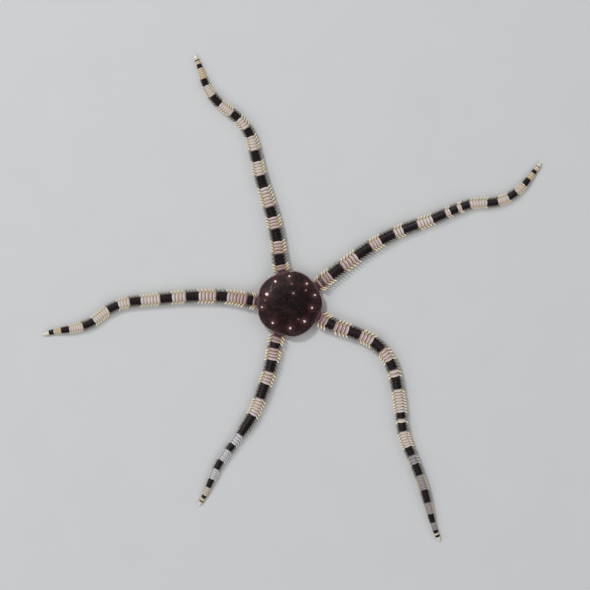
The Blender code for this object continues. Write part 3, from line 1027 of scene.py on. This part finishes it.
def knob_part(name, around, rings):
    """A small rounded knob, one unit across and half a unit high over its foot."""
    angle = TURN * np.arange(around) / around
    profile = [(math.sin(t * math.pi / 2), math.cos(t * math.pi / 2)) for t in np.linspace(0.15, 0.85, rings)]
    stack, marks = [], []
    for up, out in [(-0.3, 1.0)] + profile:
        ring = (np.cos(angle) * out / 2, np.sin(angle) * out / 2, np.full(around, up / 2))
        stack.append(np.stack(ring, axis=1))
        marks += [max(up, 0.0)] * around
    mesh = tube_mesh(name, stack, np.array((0, 0, -0.15)), np.array((0, 0, 0.5)))
    set_number(mesh, "along", marks + [0.0, 1.0])
    set_number(mesh, "across", [0.0] * (len(marks) + 2))
    layer = mesh.uv_layers.new(name="local", do_init=False)
    for polygon in mesh.polygons:
        for loop in polygon.loop_indices:
            point = mesh.vertices[mesh.loops[loop].vertex_index].co
            layer.uv[loop].vector = (point.x + 0.5, point.y + 0.5)
    turn_outwards(mesh)
    return mesh


# Finishes

class Value:
    """A socket of a finish, for writing its maths as plain expressions."""

    def __init__(self, finish, socket):
        self.finish = finish
        self.socket = socket

    def __add__(self, other):
        return self.finish.maths("ADD", self, other)

    def __radd__(self, other):
        return self.finish.maths("ADD", other, self)

    def __sub__(self, other):
        return self.finish.maths("SUBTRACT", self, other)

    def __rsub__(self, other):
        return self.finish.maths("SUBTRACT", other, self)

    def __mul__(self, other):
        return self.finish.maths("MULTIPLY", self, other)

    def __rmul__(self, other):
        return self.finish.maths("MULTIPLY", other, self)


class Finish:
    """A procedural material. Every value in it is read from the piece's own place or numbers."""

    def __init__(self, name, **constant):
        self.material = bpy.data.materials.new(name)
        self.material.use_nodes = True
        self.nodes = self.material.node_tree.nodes
        self.links = self.material.node_tree.links
        self.shader = self.nodes["Principled BSDF"]
        for key, value in constant.items():
            self.shader.inputs[key.replace("_", " ")].default_value = value
        self.place = Value(self, self.add("ShaderNodeTexCoord").outputs["Object"])

    def add(self, kind, settings=None, **inputs):
        """Any node: its settings first, then the values or links of its sockets."""
        made = self.nodes.new(kind)
        for key, value in (settings or {}).items():
            setattr(made, key, value)
        for key, value in inputs.items():
            self.put(next(i for i in made.inputs if i.name == key.replace("_", " ") and i.enabled), value)
        return made

    def put(self, target, value):
        if isinstance(value, Value):
            self.links.new(value.socket, target)
        elif isinstance(value, tuple) and len(value) == 3 and target.type == "RGBA":
            target.default_value = (*value, 1.0)
        else:
            target.default_value = value

    def maths(self, operation, a, b):
        made = self.add("ShaderNodeMath", {"operation": operation})
        self.put(made.inputs[0], a)
        self.put(made.inputs[1], b)
        return Value(self, made.outputs[0])

    def number(self, name):
        return Value(self, self.add("ShaderNodeAttribute", {"attribute_name": name}).outputs["Fac"])

    def noise(self, scale, detail):
        made = self.add("ShaderNodeTexNoise", Vector=self.place, Scale=scale, Detail=detail, Roughness=0.55)
        return Value(self, made.outputs["Fac"])

    def rise(self, value, low, high):
        """0 below low, 1 above high, smooth between."""
        smooth = {"interpolation_type": "SMOOTHSTEP"}
        made = self.add("ShaderNodeMapRange", smooth, Value=value, From_Min=low, From_Max=high)
        return Value(self, made.outputs[0])

    def mix(self, factor, a, b):
        made = self.add("ShaderNodeMix", {"data_type": "RGBA"}, Factor=factor, A=a, B=b)
        return Value(self, made.outputs[2])

    def finish(self, colour, roughness, height, distance, strength):
        bump = self.add("ShaderNodeBump", Height=height, Distance=distance, Strength=strength)
        self.put(self.shader.inputs["Base Color"], colour)
        self.put(self.shader.inputs["Roughness"], roughness)
        self.links.new(bump.outputs[0], self.shader.inputs["Normal"])
        return self.material


def shade(red, green, blue):
    """A colour given as seen, 0 to 255, as linear light."""
    seen = (red / 255, green / 255, blue / 255)
    return tuple(v / 12.92 if v < 0.0404 else ((v + 0.055) / 1.055) ** 2.4 for v in seen)


SKIN_DEEP = shade(15, 8, 8)
SKIN_WARM = shade(37, 20, 20)
SKIN_RED = shade(58, 27, 28)
SKIN_EDGE = shade(62, 43, 46)
SKIN_FLECK = shade(108, 84, 86)
# partly the cord's own colour, partly painted rim light along the disc's edge
SKIN_RIM_AND_RIM_LIGHT = shade(182, 158, 156)
SKIN_UNDER = shade(150, 118, 106)
SKIN_UNDER_DARK = shade(96, 70, 64)
SLIT_DARK = shade(40, 24, 22)
KNOB_HALO = shade(118, 78, 76)
# painted highlight: the white of a lamp's glint, painted on the knobs' tops
PAINTED_GLINT = shade(246, 238, 240)
KNOB_PINK = shade(170, 118, 112)
ARM_ROOT = shade(110, 84, 90)
JOINT_DARK = shade(16, 10, 12)
JOINT_LILAC = shade(104, 72, 82)
PLATE_PINK = shade(178, 147, 149)
PLATE_WHITE = shade(210, 196, 191)
PLATE_LILAC = shade(190, 186, 212)
PLATE_CREAM = shade(214, 196, 158)
# partly the plates' cream edge, partly a painted highlight on their raised far edge
PLATE_LIP_AND_HIGHLIGHT = shade(232, 220, 196)
PLATE_GROOVE = shade(78, 51, 62)
PLATE_ROOT = shade(110, 77, 86)
PLATE_GREY = shade(132, 129, 138)
PLATE_FRESH = shade(188, 195, 208)
TIP_YELLOW = shade(196, 174, 118)
BAND_BLACK = shade(11, 9, 10)
BAND_MAROON = shade(42, 20, 24)
BAND_ASH = shade(54, 49, 51)
SPINE_WHITE = shade(240, 232, 208)
SPINE_CREAM = shade(218, 190, 134)
SPINE_PALE = shade(216, 202, 168)
SPINE_GOLD = shade(182, 130, 66)
SPINE_SMOKE = shade(88, 82, 79)
SPINE_ASH = shade(134, 129, 122)
SPINE_FROST = shade(190, 186, 172)
SOLE_DARK = shade(86, 68, 62)
SOLE_GREY = shade(128, 110, 102)
BONE = shade(206, 184, 158)
BONE_WARM = shade(164, 128, 104)
BONE_LIGHT = shade(226, 212, 188)
BONE_DEEP = shade(104, 74, 60)
PAPER = (shade(202, 203, 205), shade(207, 207, 207))


def skin_finish():
    """Soft wet skin: mottled red-brown on the disc, paler below, with a pale cord along its edge, its
    paleness partly painted rim light.
    """
    f = Finish("brittle_star_skin", IOR=1.34, Coat_Weight=0.03, Coat_Roughness=0.12)
    broad = f.noise(330.0, 3.0)
    spots = f.noise(900.0, 3.0)
    fine = f.noise(2600.0, 4.0)
    outward = f.number("outward")
    warm = f.rise(outward, 0.0, 0.85) * 0.75 + 0.25 * f.rise(broad, 0.35, 0.65)
    colour = f.mix(warm, SKIN_DEEP, SKIN_WARM)
    colour = f.mix(f.rise(broad * 0.4 + spots * 0.6, 0.48, 0.6) * 0.55, colour, SKIN_RED)
    edge = f.rise(outward, 0.55, 1.0) * (0.3 + 0.6 * f.rise(spots, 0.42, 0.62))
    colour = f.mix(edge, colour, SKIN_EDGE)
    colour = f.mix(f.rise(fine, 0.56, 0.72) * 0.30, colour, SKIN_EDGE)
    colour = f.mix(f.rise(spots * fine, 0.36, 0.46) * 0.4, colour, SKIN_FLECK)
    colour = f.mix(f.number("knob") * (0.2 + 0.5 * fine), colour, KNOB_HALO)
    under = f.mix(f.rise(broad, 0.35, 0.65), SKIN_UNDER, SKIN_UNDER_DARK)
    under = f.mix(f.rise(fine, 0.5, 0.7) * 0.35, under, SKIN_UNDER_DARK)
    colour = f.mix(f.number("under"), colour, under)
    colour = f.mix(f.number("slit") * 0.9, colour, SLIT_DARK)
    joint = f.mix(f.number("pale"), JOINT_DARK, JOINT_LILAC)
    root = f.mix(f.rise(fine, 0.3, 0.6), SKIN_EDGE, ARM_ROOT)
    on_arm = f.number("on_arm")
    colour = f.mix(f.rise(on_arm, 0.0, 0.6), colour, root)
    colour = f.mix(f.rise(on_arm, 0.5, 1.0), colour, joint)
    # the cord's paleness: partly its own colour, partly painted rim light along the disc's edge
    colour = f.mix(f.number("rim") * (0.6 + 0.4 * f.rise(spots, 0.3, 0.6)), colour, SKIN_RIM_AND_RIM_LIGHT)
    height = spots * 0.5 + fine * 0.35 + f.noise(7000.0, 2.0) * 0.15
    return f.finish(colour, 0.5 + 0.2 * fine, height, 0.05 * MM, 0.4)


def plate_finish():
    """The banded plates: pale ones with lilac joints and a cream lip that is partly a painted highlight, dark
    ones with a maroon middle.
    """
    f = Finish("banded_plates", IOR=1.42, Coat_Weight=0.06, Coat_Roughness=0.2)
    pale, along, across, phase, share, whim, on_side = (
        f.number(name) for name in ("pale", "along", "across", "phase", "share", "whim", "on_side")
    )
    fine = f.noise(3000.0, 3.0)
    streak = f.noise(1100.0, 3.0)
    grit = f.noise(8000.0, 2.0)
    outer = f.rise(across * across, 0.25, 0.95) * (1 - on_side) + on_side
    white = f.mix(f.rise(share, 0.08, 0.5) * 0.8 + 0.2 * whim, PLATE_PINK, PLATE_WHITE)
    white = f.mix(f.rise(phase, 0.66, 0.98) * f.rise(along, 0.2, 0.7) * 0.85, white, PLATE_LILAC)
    white = f.mix(outer * (0.85 - 0.35 * f.rise(phase, 0.7, 1.0)), white, PLATE_CREAM)
    white = f.mix(f.number("fresh") * 0.8, white, PLATE_FRESH)
    white = f.mix(f.rise(share, 0.84, 0.93) * 0.8, white, TIP_YELLOW)
    # partly the cream of each plate's far edge, partly a painted highlight where the raised edge catches the
    # light
    white = f.mix(f.rise(along, 0.62, 0.85) * 0.65, white, PLATE_LIP_AND_HIGHLIGHT)
    white = f.mix(f.number("grey") * (0.5 + 0.5 * f.rise(fine, 0.35, 0.6)), white, PLATE_GREY)
    white = f.mix(f.rise(streak, 0.48, 0.66) * 0.35 * (1 - 0.5 * share), white, PLATE_PINK)
    white = f.mix(f.rise(share, 0.965, 0.985), white, SPINE_WHITE)
    white = f.mix(f.rise(fine, 0.54, 0.72) * (0.45 - 0.25 * share), white, PLATE_GROOVE)
    groove = 1 - f.rise(along + 0.2 * (streak - 0.5), 0.2, 0.5)
    white = f.mix(groove * (0.95 - 0.4 * f.rise(share, 0.15, 0.7)), white, PLATE_GROOVE)
    white = f.mix((1 - f.rise(share, 0.0, 0.14)) * (0.2 + 0.4 * fine), white, PLATE_ROOT)
    middle = 1 - f.rise(across * across, 0.12, 0.75)
    specks = f.rise(fine, 0.48, 0.66)
    dark = f.mix(outer * 0.25 + specks * 0.45, BAND_BLACK, BAND_ASH)
    maroon = middle * (1 - on_side) * f.rise(streak, 0.34, 0.6)
    dark = f.mix(maroon * (0.9 - 0.4 * share), dark, BAND_MAROON)
    dark = f.mix((1 - f.rise(phase, 0.0, 0.3)) * 0.35, dark, BAND_MAROON)
    dark = f.mix(f.rise(along, 0.8, 0.95) * 0.35, dark, BAND_ASH)
    root = f.mix(f.rise(fine, 0.3, 0.7), PLATE_ROOT, PLATE_PINK)
    colour = f.mix(f.rise(pale, 0.0, 0.45), dark, root)
    colour = f.mix(f.rise(pale, 0.45, 0.8), colour, white)
    height = fine * 0.45 + grit * 0.35 + streak * 0.2
    return f.finish(colour, 0.50 + 0.2 * fine - 0.10 * pale, height, 0.035 * MM, 0.55)


def spine_finish():
    """Glassy spines: gold at the foot and white at the tip on pale bands, smoky and frosted on dark ones."""
    f = Finish("glassy_spines", IOR=1.45, Coat_Weight=0.25, Coat_Roughness=0.15)
    pale, along, share, whim = (f.number(name) for name in ("pale", "along", "share", "whim"))
    grain = f.noise(3600.0, 2.0)
    gold = (1 - f.rise(along, 0.02, 0.36)) * (0.75 - 0.65 * f.rise(share, 0.04, 0.35)) * (0.5 + 0.5 * whim)
    cream = f.mix(f.rise(share, 0.15, 0.5), SPINE_CREAM, SPINE_PALE)
    light = f.mix(f.rise(along, 0.2, 0.7), cream, SPINE_WHITE)
    light = f.mix(gold, light, SPINE_GOLD)
    light = f.mix(f.number("fresh") * 0.7, light, PLATE_FRESH)
    light = f.mix(f.number("grey") * 0.4, light, SPINE_ASH)
    dark = f.mix(f.rise(along, 0.05, 0.65), SPINE_SMOKE, SPINE_ASH)
    dark = f.mix(f.rise(along, 0.6, 0.95) * (0.6 + 0.4 * whim), dark, SPINE_FROST)
    colour = f.mix(f.rise(pale, 0.0, 0.6), dark, light)
    colour = f.mix(f.rise(grain, 0.52, 0.7) * 0.2, colour, SPINE_CREAM)
    return f.finish(colour, 0.28 + 0.16 * grain, grain, 0.02 * MM, 0.35)


def sole_finish():
    """The plates of the sole, chalkier and less boldly banded."""
    f = Finish("sole_plates", IOR=1.42, Coat_Weight=0.08, Coat_Roughness=0.25)
    pale, along, share = (f.number(name) for name in ("pale", "along", "share"))
    fine = f.noise(2600.0, 3.0)
    grit = f.noise(8000.0, 2.0)
    light = f.mix(f.rise(share, 0.0, 0.5), BONE, PLATE_WHITE)
    dark = f.mix(f.rise(fine, 0.35, 0.65), SOLE_DARK, SOLE_GREY)
    colour = f.mix(f.rise(pale, 0.0, 0.6), dark, light)
    colour = f.mix((1 - f.rise(along, 0.05, 0.3)) * 0.6, colour, BONE_WARM)
    colour = f.mix(f.rise(fine, 0.5, 0.72) * 0.35, colour, BONE_WARM)
    return f.finish(colour, 0.45 + 0.15 * fine, fine * 0.6 + grit * 0.4, 0.035 * MM, 0.5)


def knob_glint_finish():
    """The knobs of the disc, pink at the foot, with a painted white glint on top of the larger ones."""
    f = Finish("pearly_knobs", IOR=1.55, Coat_Weight=0.8, Coat_Roughness=0.05)
    along = f.number("along")
    fine = f.noise(4000.0, 2.0)
    colour = f.mix(f.rise(along, 0.15, 0.6), KNOB_HALO, KNOB_PINK)
    # painted highlight: the larger knobs, by their width, get a white glint painted on their tops
    glint_amount = f.rise(f.number("whim"), 0.5, 0.75)
    colour = f.mix(f.rise(along + 0.2 * (fine - 0.5), 0.58, 0.9) * (0.2 + 0.8 * glint_amount), colour, PAINTED_GLINT)
    return f.finish(colour, 0.16 + 0.1 * fine, fine, 0.02 * MM, 0.2)


def bone_finish():
    """Chalky bone of the jaws and shields, with warm stains."""
    f = Finish("mouth_bone", IOR=1.45, Coat_Weight=0.1, Coat_Roughness=0.2)
    broad = f.noise(800.0, 3.0)
    fine = f.noise(3600.0, 3.0)
    grit = f.noise(9000.0, 2.0)
    colour = f.mix(f.rise(broad, 0.35, 0.65) * 0.7, BONE, BONE_WARM)
    colour = f.mix(f.rise(fine, 0.5, 0.7) * 0.5, colour, BONE_LIGHT)
    # darker along the jaws' groove and crease
    colour = f.mix(f.number("groove") * 0.75, colour, BONE_DEEP)
    return f.finish(colour, 0.42 + 0.15 * fine, broad * 0.3 + fine * 0.4 + grit * 0.3, 0.05 * MM, 0.55)


def floor_finish():
    f = Finish("floor_paper")
    grain = f.noise(60.0, 2.0)
    return f.finish(f.mix(grain, *PAPER), 0.9 + 0.05 * grain, grain, 0.01 * MM, 0.1)


# Pieces

def settle(name, mesh, finish=None, nodes=()):
    """The finished piece of a mesh, on the animal's one body."""
    piece = new_object(name, mesh, finish)
    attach(piece, "root")
    if nodes:
        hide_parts(*nodes)


def make_skin():
    mesh = united("skin", [disc_shell()] + [arm_core(line) for line in LINES])
    wrinkle(mesh)
    offset = coordinates(mesh) - DISC_CENTRE
    places = along_arms(offset)
    mark_skin(mesh, offset, *places)
    lay_out_skin(mesh, offset, *places)
    nodes = ["disc"]
    for line in LINES:
        nodes += [f"arm_{line.name}_{number}" for number in range(1, line.arm["pieces"] + 1)]
    settle("skin", mesh, skin_finish(), nodes)


def plate_row(line, segments, first_radius, on_side):
    """A row with one place on every segment past a distance from the disc's middle."""
    row = Row()
    begin = line.reaches(first_radius) if first_radius else 0.0
    whims = np.random.default_rng(3).random(len(segments))
    for (near, far, marks), whim in zip(segments, whims):
        middle = (near + far) / 2
        if middle < begin:
            continue
        point = line.place(near)[0][0] + np.array((0, 0, FLOOR_GAP))
        turn = float(line.place(middle)[3][0])
        width = float(line.width(middle))
        size = (far - near, width / 2 - PLATE_DEPTH, width * ARM_HEIGHT_TO_WIDTH - PLATE_DEPTH)
        row.add(point, (0, 0, turn), size, on_side=on_side, whim=whim, **marks)
    return row


def make_plates(line, plates, sole):
    """The plates of an arm: a row along the back, one along each side, and one along the sole."""
    part = plate_part(
        "back_plate", BACK_SPAN, reach=(-0.10, 1.03), thickness=0.085, bulge=0.16,
        columns=evenly(7, 0.04, 0.75), rows=LIP, narrowing=0.10,
    )
    row = plate_row(line, line.outer_plated(), BACK_PLATES_FROM, on_side=0.0)
    back = row.build(f"back_plates_{line.name}", part, plates, PLATE_WOBBLE, seed=5, aspect=0.35)
    sides = []
    for side, span in SIDE_SPANS.items():
        part = plate_part(
            f"{side}_plate", span, reach=(-0.05, 1.0), thickness=0.10, bulge=0.06,
            columns=evenly(5, 0.05, 0.8), rows=CREST, narrowing=0.12, flare=0.05,
        )
        row = plate_row(line, line.plated(), 0.0, on_side=1.0)
        sides.append(row.build(f"{side}_plates", part, plates, PLATE_WOBBLE, seed=6, aspect=0.6))
    flank = side_by_side(f"side_plates_{line.name}", sides)
    part = plate_part(
        "sole_plate", SOLE_SPAN, reach=(0.04, 1.0), thickness=0.06, bulge=0.12,
        columns=evenly(3, 0.07, 0.8), rows=CREST, narrowing=0.25,
    )
    row = plate_row(line, line.plated(), 0.0, on_side=0.0)
    under = row.build(f"sole_plates_{line.name}", part, sole, seed=7, aspect=0.6)
    for mesh in (back, flank, under):
        settle(mesh.name, mesh)


def make_spines(line, finish):
    """The spines: a fan of four on the far edge of each side plate, and of two under the disc."""
    row = Row()
    luck = np.random.default_rng(11)
    for near, far, marks in line.inner_segments + line.segments:
        s = near + (far - near) * SPINE_PLACE
        share = float(line.share(s))
        fading = 1 - float(smooth_step((share - SPINE_END[0]) / (SPINE_END[1] - SPINE_END[0])))
        if fading <= 0.02 or s < line.reaches(RIDGE_START + SEGMENT):
            continue
        width = float(line.width(s))
        slim = width / (ARM_WIDTH * (1 - ARM_TAPER * share**ARM_TAPER_POWER))
        length = SPINE_LENGTH * (1 - SPINE_TAPER * share) * (SPINE_LEAST + (1 - SPINE_LEAST) * fading)
        length *= min(slim, 1.0) * (1 + FIRST_SPINES_LONGER * float(hill(share, FIRST_SPINES_END)))
        point, _, left, heading = line.place(s)
        for side in (1, -1):
            splay = SPINE_SPLAY + luck.normal(0, SPLAY_SPREAD)
            for angle, lift, longer in INNER_SPINE_ROWS if s < line.start else SPINE_ROWS:
                across, up = section(np.array(math.radians(angle) * side))
                foot = point[0] + left[0] * across * (width / 2 - PLATE_DEPTH)
                foot = foot + np.array((0, 0, float(up) * width * ARM_HEIGHT_TO_WIDTH))
                reach = length * longer * (0.94 + 0.12 * luck.random())
                raised = math.radians(lift + luck.normal(0, LIFT_SPREAD))
                drop = (LOWEST_SPINE - foot[2]) / reach
                lowest = math.asin(max(min(drop, STEEPEST_SPINE), -STEEPEST_SPINE))
                turn = (luck.random() * TURN, -max(raised, lowest), float(heading[0]) + side * splay)
                thick = SPINE_THICKNESS * (0.5 + 0.5 * reach / SPINE_LENGTH)
                row.add(foot, turn, (reach, thick, thick), whim=luck.random(), **marks)
    part = spine_part("spine", SPINE_PROFILE, 8, SPINE_BEND)
    mesh = row.build(f"spines_{line.name}", part, finish, seed=8, aspect=0.7)
    settle(mesh.name, mesh)


def make_scales(finish):
    """The scales over the tube feet, a pair on every segment between the sole plate and the side plates."""
    meshes = []
    for line in LINES:
        row = Row()
        for near, far, marks in line.plated():
            s = near + (far - near) * SCALE_PLACE
            width = float(line.width(s))
            point, _, left, heading = line.place(s)
            for side in (1, -1):
                across, up = section(np.array(SCALE_ANGLE * side))
                foot = point[0] + left[0] * across * (width / 2 + SCALE_OUT)
                foot = foot + np.array((0, 0, max(float(up) * width * ARM_HEIGHT_TO_WIDTH, SCALE_LOWEST)))
                size = (SCALE_LENGTH * (far - near), SCALE_WIDTH * width, SCALE_WIDTH * width)
                turn = (-SCALE_TILT * side, 0.0, float(heading[0]) - side * SCALE_TURN)
                row.add(foot, turn, size, on_side=1.0, whim=0.5, **marks)
        meshes.append(row.build(f"scales_{line.name}", knob_part("scale", 8, 3), finish))
    settle("foot_scales", side_by_side("foot_scales", meshes))


def make_tips(finish):
    """The pointed last plate at each arm's end."""
    meshes = []
    for line in LINES:
        width = float(line.width(line.tip)) * TIP_WIDTH
        point, _, _, heading = line.place((line.tip + line.length) / 2)
        turn = float(heading[0])
        reach = (line.length - line.tip) / 2
        centre = point[0] + np.array((-reach * math.cos(turn), -reach * math.sin(turn), TIP_LEVEL * width))
        size = (2 * reach + TIP_POINT, width, width * ARM_HEIGHT_TO_WIDTH)
        row = Row()
        row.add(centre, (0, 0, turn), size, pale=1.0, grey=0.0, phase=0.5, share=1.0, fresh=0.35, whim=0.0)
        meshes.append(row.build(f"tip_{line.name}", spine_part("tip", TIP_PROFILE, 20, 0.0), finish))
    settle("arm_tips", side_by_side("arm_tips", meshes))


def make_knobs(finish):
    """The knobs on the disc, with painted glints on their tops, each tilted with the skin under it."""
    row = Row()
    luck = np.random.default_rng(17)
    beside = 0.02  # of the radius
    for place, size, at in KNOBS:
        angle = math.radians(at)
        share = place * MM / PLAIN_RADIUS
        low, high = back_at(at, share - beside), back_at(at, share + beside)
        tilt = math.atan2(low - high, 2 * beside * DISC_RADIUS)
        spot = DISC_CENTRE + np.array((place * math.cos(angle), place * math.sin(angle), 0)) * MM
        wide = size * KNOB_WIDTH
        spot[2] = (low + high) / 2 - KNOB_SUNK * wide
        shape = (wide * luck.uniform(0.9, 1.12), wide * luck.uniform(0.88, 1.0), wide * KNOB_HEIGHT)
        row.add(spot, (0, tilt, angle), shape, whim=size)
    settle("disc_knobs", row.build("disc_knobs", knob_part("knob", 20, 8), finish))


def round_disc(bearing, outward, aside=0.0, up=0.0):
    """A place on the disc: outward along a bearing, aside to the left of it, and up."""
    angle = math.radians(bearing)
    ahead = np.array((math.cos(angle), math.sin(angle), 0.0))
    left = np.array((-math.sin(angle), math.cos(angle), 0.0))
    outward, aside, up = (np.asarray(v, float)[..., None] for v in (outward, aside, up))
    return DISC_CENTRE + outward * ahead + aside * left + up * np.array((0.0, 0.0, 1.0))


def jaw_mesh(bearing):
    """A jaw: a wedge that points at the middle of the mouth, in two halves with a groove between."""
    turn = TURN * np.arange(JAW_SIDES) / JAW_SIDES
    below = np.sin(turn) < 0
    rings, marks = [], []
    for step in np.concatenate(([0.0, 0.015], np.linspace(0.05, 0.97, 20), [0.995])):
        half = JAW_WIDTH / 2 * float(np.interp(step, *JAW_OUTLINE))
        end = min(1.0, 0.55 + 30 * step, 0.6 + 13 * (1 - step))
        deep = JAW_DEPTH * (1 - 0.25 * step) * end
        across = np.sign(np.cos(turn)) * np.abs(np.cos(turn)) ** 0.75 * half * end
        up = np.sign(np.sin(turn)) * np.abs(np.sin(turn)) ** 0.65 * deep
        groove = JAW_GROOVE * hill(across, JAW_GROOVE_WIDTH) * (1 - 0.5 * step)
        hollow = JAW_HOLLOW * hill(np.abs(across) - 0.45 * half, 0.25 * half)
        crease = JAW_CREASE * hill(step - CREASE_PLACE, 0.05)
        up = up + (groove + hollow + crease) * below
        radius = JAW_HEEL + (JAW_TIP - JAW_HEEL) * step
        rings.append(round_disc(bearing, radius, -across, JAW_LEVEL + up))
        # darker along the groove and the crease of the jaw's underside
        groove_darkening = hill(across, JAW_DARKENING_WIDTH) + 0.7 * hill(step - CREASE_PLACE, 0.03)
        marks.append(np.clip(groove_darkening, 0, 1) * below)
    mesh = tube_mesh("jaw", rings, rings[0].mean(0), rings[-1].mean(0))
    set_number(mesh, "groove", np.concatenate([*marks, [0.0, 0.0]]))
    return mesh


def shield_mesh(bearing, radius, aside, wide, long, twist, pointing):
    """A low domed plate on the underside, drawn to a point towards the mouth."""
    angle = -TURN * np.arange(SHIELD_SIDES) / SHIELD_SIDES
    spin = math.radians(twist)
    narrower = 1 - pointing * np.clip(0.35 - np.cos(angle), 0, 1.35) / 1.35
    rings = []
    for share, rise in SHIELD_DOME:
        along = np.cos(angle) * long / 2 * share
        across = np.sin(angle) * wide / 2 * share * narrower
        outward = radius + along * math.cos(spin) - across * math.sin(spin)
        sideways = aside + along * math.sin(spin) + across * math.cos(spin)
        rings.append(round_disc(bearing, outward, sideways, np.full(SHIELD_SIDES, SHIELD_LEVEL + rise * MM)))
    return tube_mesh("shield", rings, rings[0].mean(0), rings[-1].mean(0))


def make_mouth(bone):
    """Five jaws with their teeth and papillae, and behind each a shield with a narrow plate on both sides."""
    bearings = [FIRST_RAY + RAY_STEP * (number + 0.5) for number in range(RAYS)]
    numbers = range(1, RAYS + 1)
    jaws = joined("jaws", [jaw_mesh(bearing) for bearing in bearings])
    settle("jaws", jaws, bone, [f"jaw_{number}" for number in numbers])
    shields = []
    outward, aside = WING_PLACE
    for bearing in bearings:
        shield = (0.0, SHIELD_WIDTH, SHIELD_LENGTH, 0, SHIELD_POINTING)
        shields.append(shield_mesh(bearing, SHIELD_PLACE, *shield))
        for side in (-1, 1):
            wing = (side * aside, WING_WIDTH, WING_LENGTH, side * WING_TWIST, WING_POINTING)
            shields.append(shield_mesh(bearing, outward, *wing))
    shields = joined("oral_shields", shields)
    settle("oral_shields", shields, bone, [f"oral_shield_{number}" for number in numbers])
    row = Row()
    luck = np.random.default_rng(21)
    for bearing in bearings:
        for side in (-1, 1):
            for step in np.linspace(0.1, 0.93, PAPILLAE):
                radius = JAW_HEEL + (JAW_TIP - JAW_HEEL) * step
                half = JAW_WIDTH / 2 * float(np.interp(step, *JAW_OUTLINE))
                foot = round_disc(bearing, radius, side * (half - MOUTH_INSET), PAPILLA_LEVEL)
                long, wide, tall = PAPILLA_SIZE
                turn = (0.0, math.pi / 2 + luck.normal(0, 0.12), math.radians(bearing + side * PAPILLA_TURN))
                row.add(foot, turn, (long, wide, (1.0 - 0.35 * step) * tall), whim=luck.random())
        for number in range(TEETH):
            foot = round_disc(bearing, JAW_TIP + MOUTH_INSET, 0.0, TOOTH_LEVEL + TOOTH_STEP * number)
            row.add(foot, (0.0, -math.pi / 2, math.radians(bearing)), TOOTH_SIZE, whim=0.5)
    settle("mouth_papillae", row.build("mouth_papillae", knob_part("papilla", 10, 5), bone))


# The scene

def make_camera():
    camera = bpy.data.objects.new("camera", bpy.data.cameras.new("camera"))
    bpy.context.scene.collection.objects.link(camera)
    across = (FRAME_PIXELS / 2 - DISC_PIXEL[0]) * PIXEL
    upward = (DISC_PIXEL[1] - FRAME_PIXELS / 2) * PIXEL
    camera.location = (DISC_CENTRE[0] + across, DISC_CENTRE[1] + upward, CAMERA_HEIGHT)
    camera.data.sensor_width = SENSOR
    camera.data.lens = SENSOR * (CAMERA_HEIGHT - FOCUS_HEIGHT) / (FRAME_PIXELS * PIXEL)
    camera.data.clip_start = 0.01
    camera.data.clip_end = 20.0
    bpy.context.scene.camera = camera


def make_light(name, place, size, power, glints):
    light = bpy.data.lights.new(name, "AREA")
    light.size = size
    light.energy = power
    made = bpy.data.objects.new(name, light)
    made.location = place
    made.rotation_euler = (-Vector(place)).to_track_quat("-Z", "Y").to_euler()
    made.visible_glossy = glints
    bpy.context.scene.collection.objects.link(made)


def make_floor():
    bm = bmesh.new()
    bmesh.ops.create_grid(bm, x_segments=1, y_segments=1, size=FLOOR_HALF)
    mesh = bpy.data.meshes.new("floor")
    bm.to_mesh(mesh)
    bm.free()
    new_object("floor", mesh, floor_finish())


def make_studio():
    make_floor()
    for light in LIGHTS:
        make_light(*light)
    world = bpy.data.worlds.new("studio")
    bpy.context.scene.world = world
    world.use_nodes = True
    world.node_tree.nodes["Background"].inputs["Color"].default_value = SKY
    world.node_tree.nodes["Background"].inputs["Strength"].default_value = SKY_STRENGTH
    world.cycles_visibility.glossy = False
    bpy.context.scene.view_settings.view_transform = "Standard"


def main():
    make_camera()
    make_studio()
    make_skin()
    plates = plate_finish()
    spines = spine_finish()
    sole = sole_finish()
    for line in LINES:
        make_plates(line, plates, sole)
        make_spines(line, spines)
    make_scales(sole)
    make_tips(spines)
    make_knobs(knob_glint_finish())
    make_mouth(bone_finish())


main()
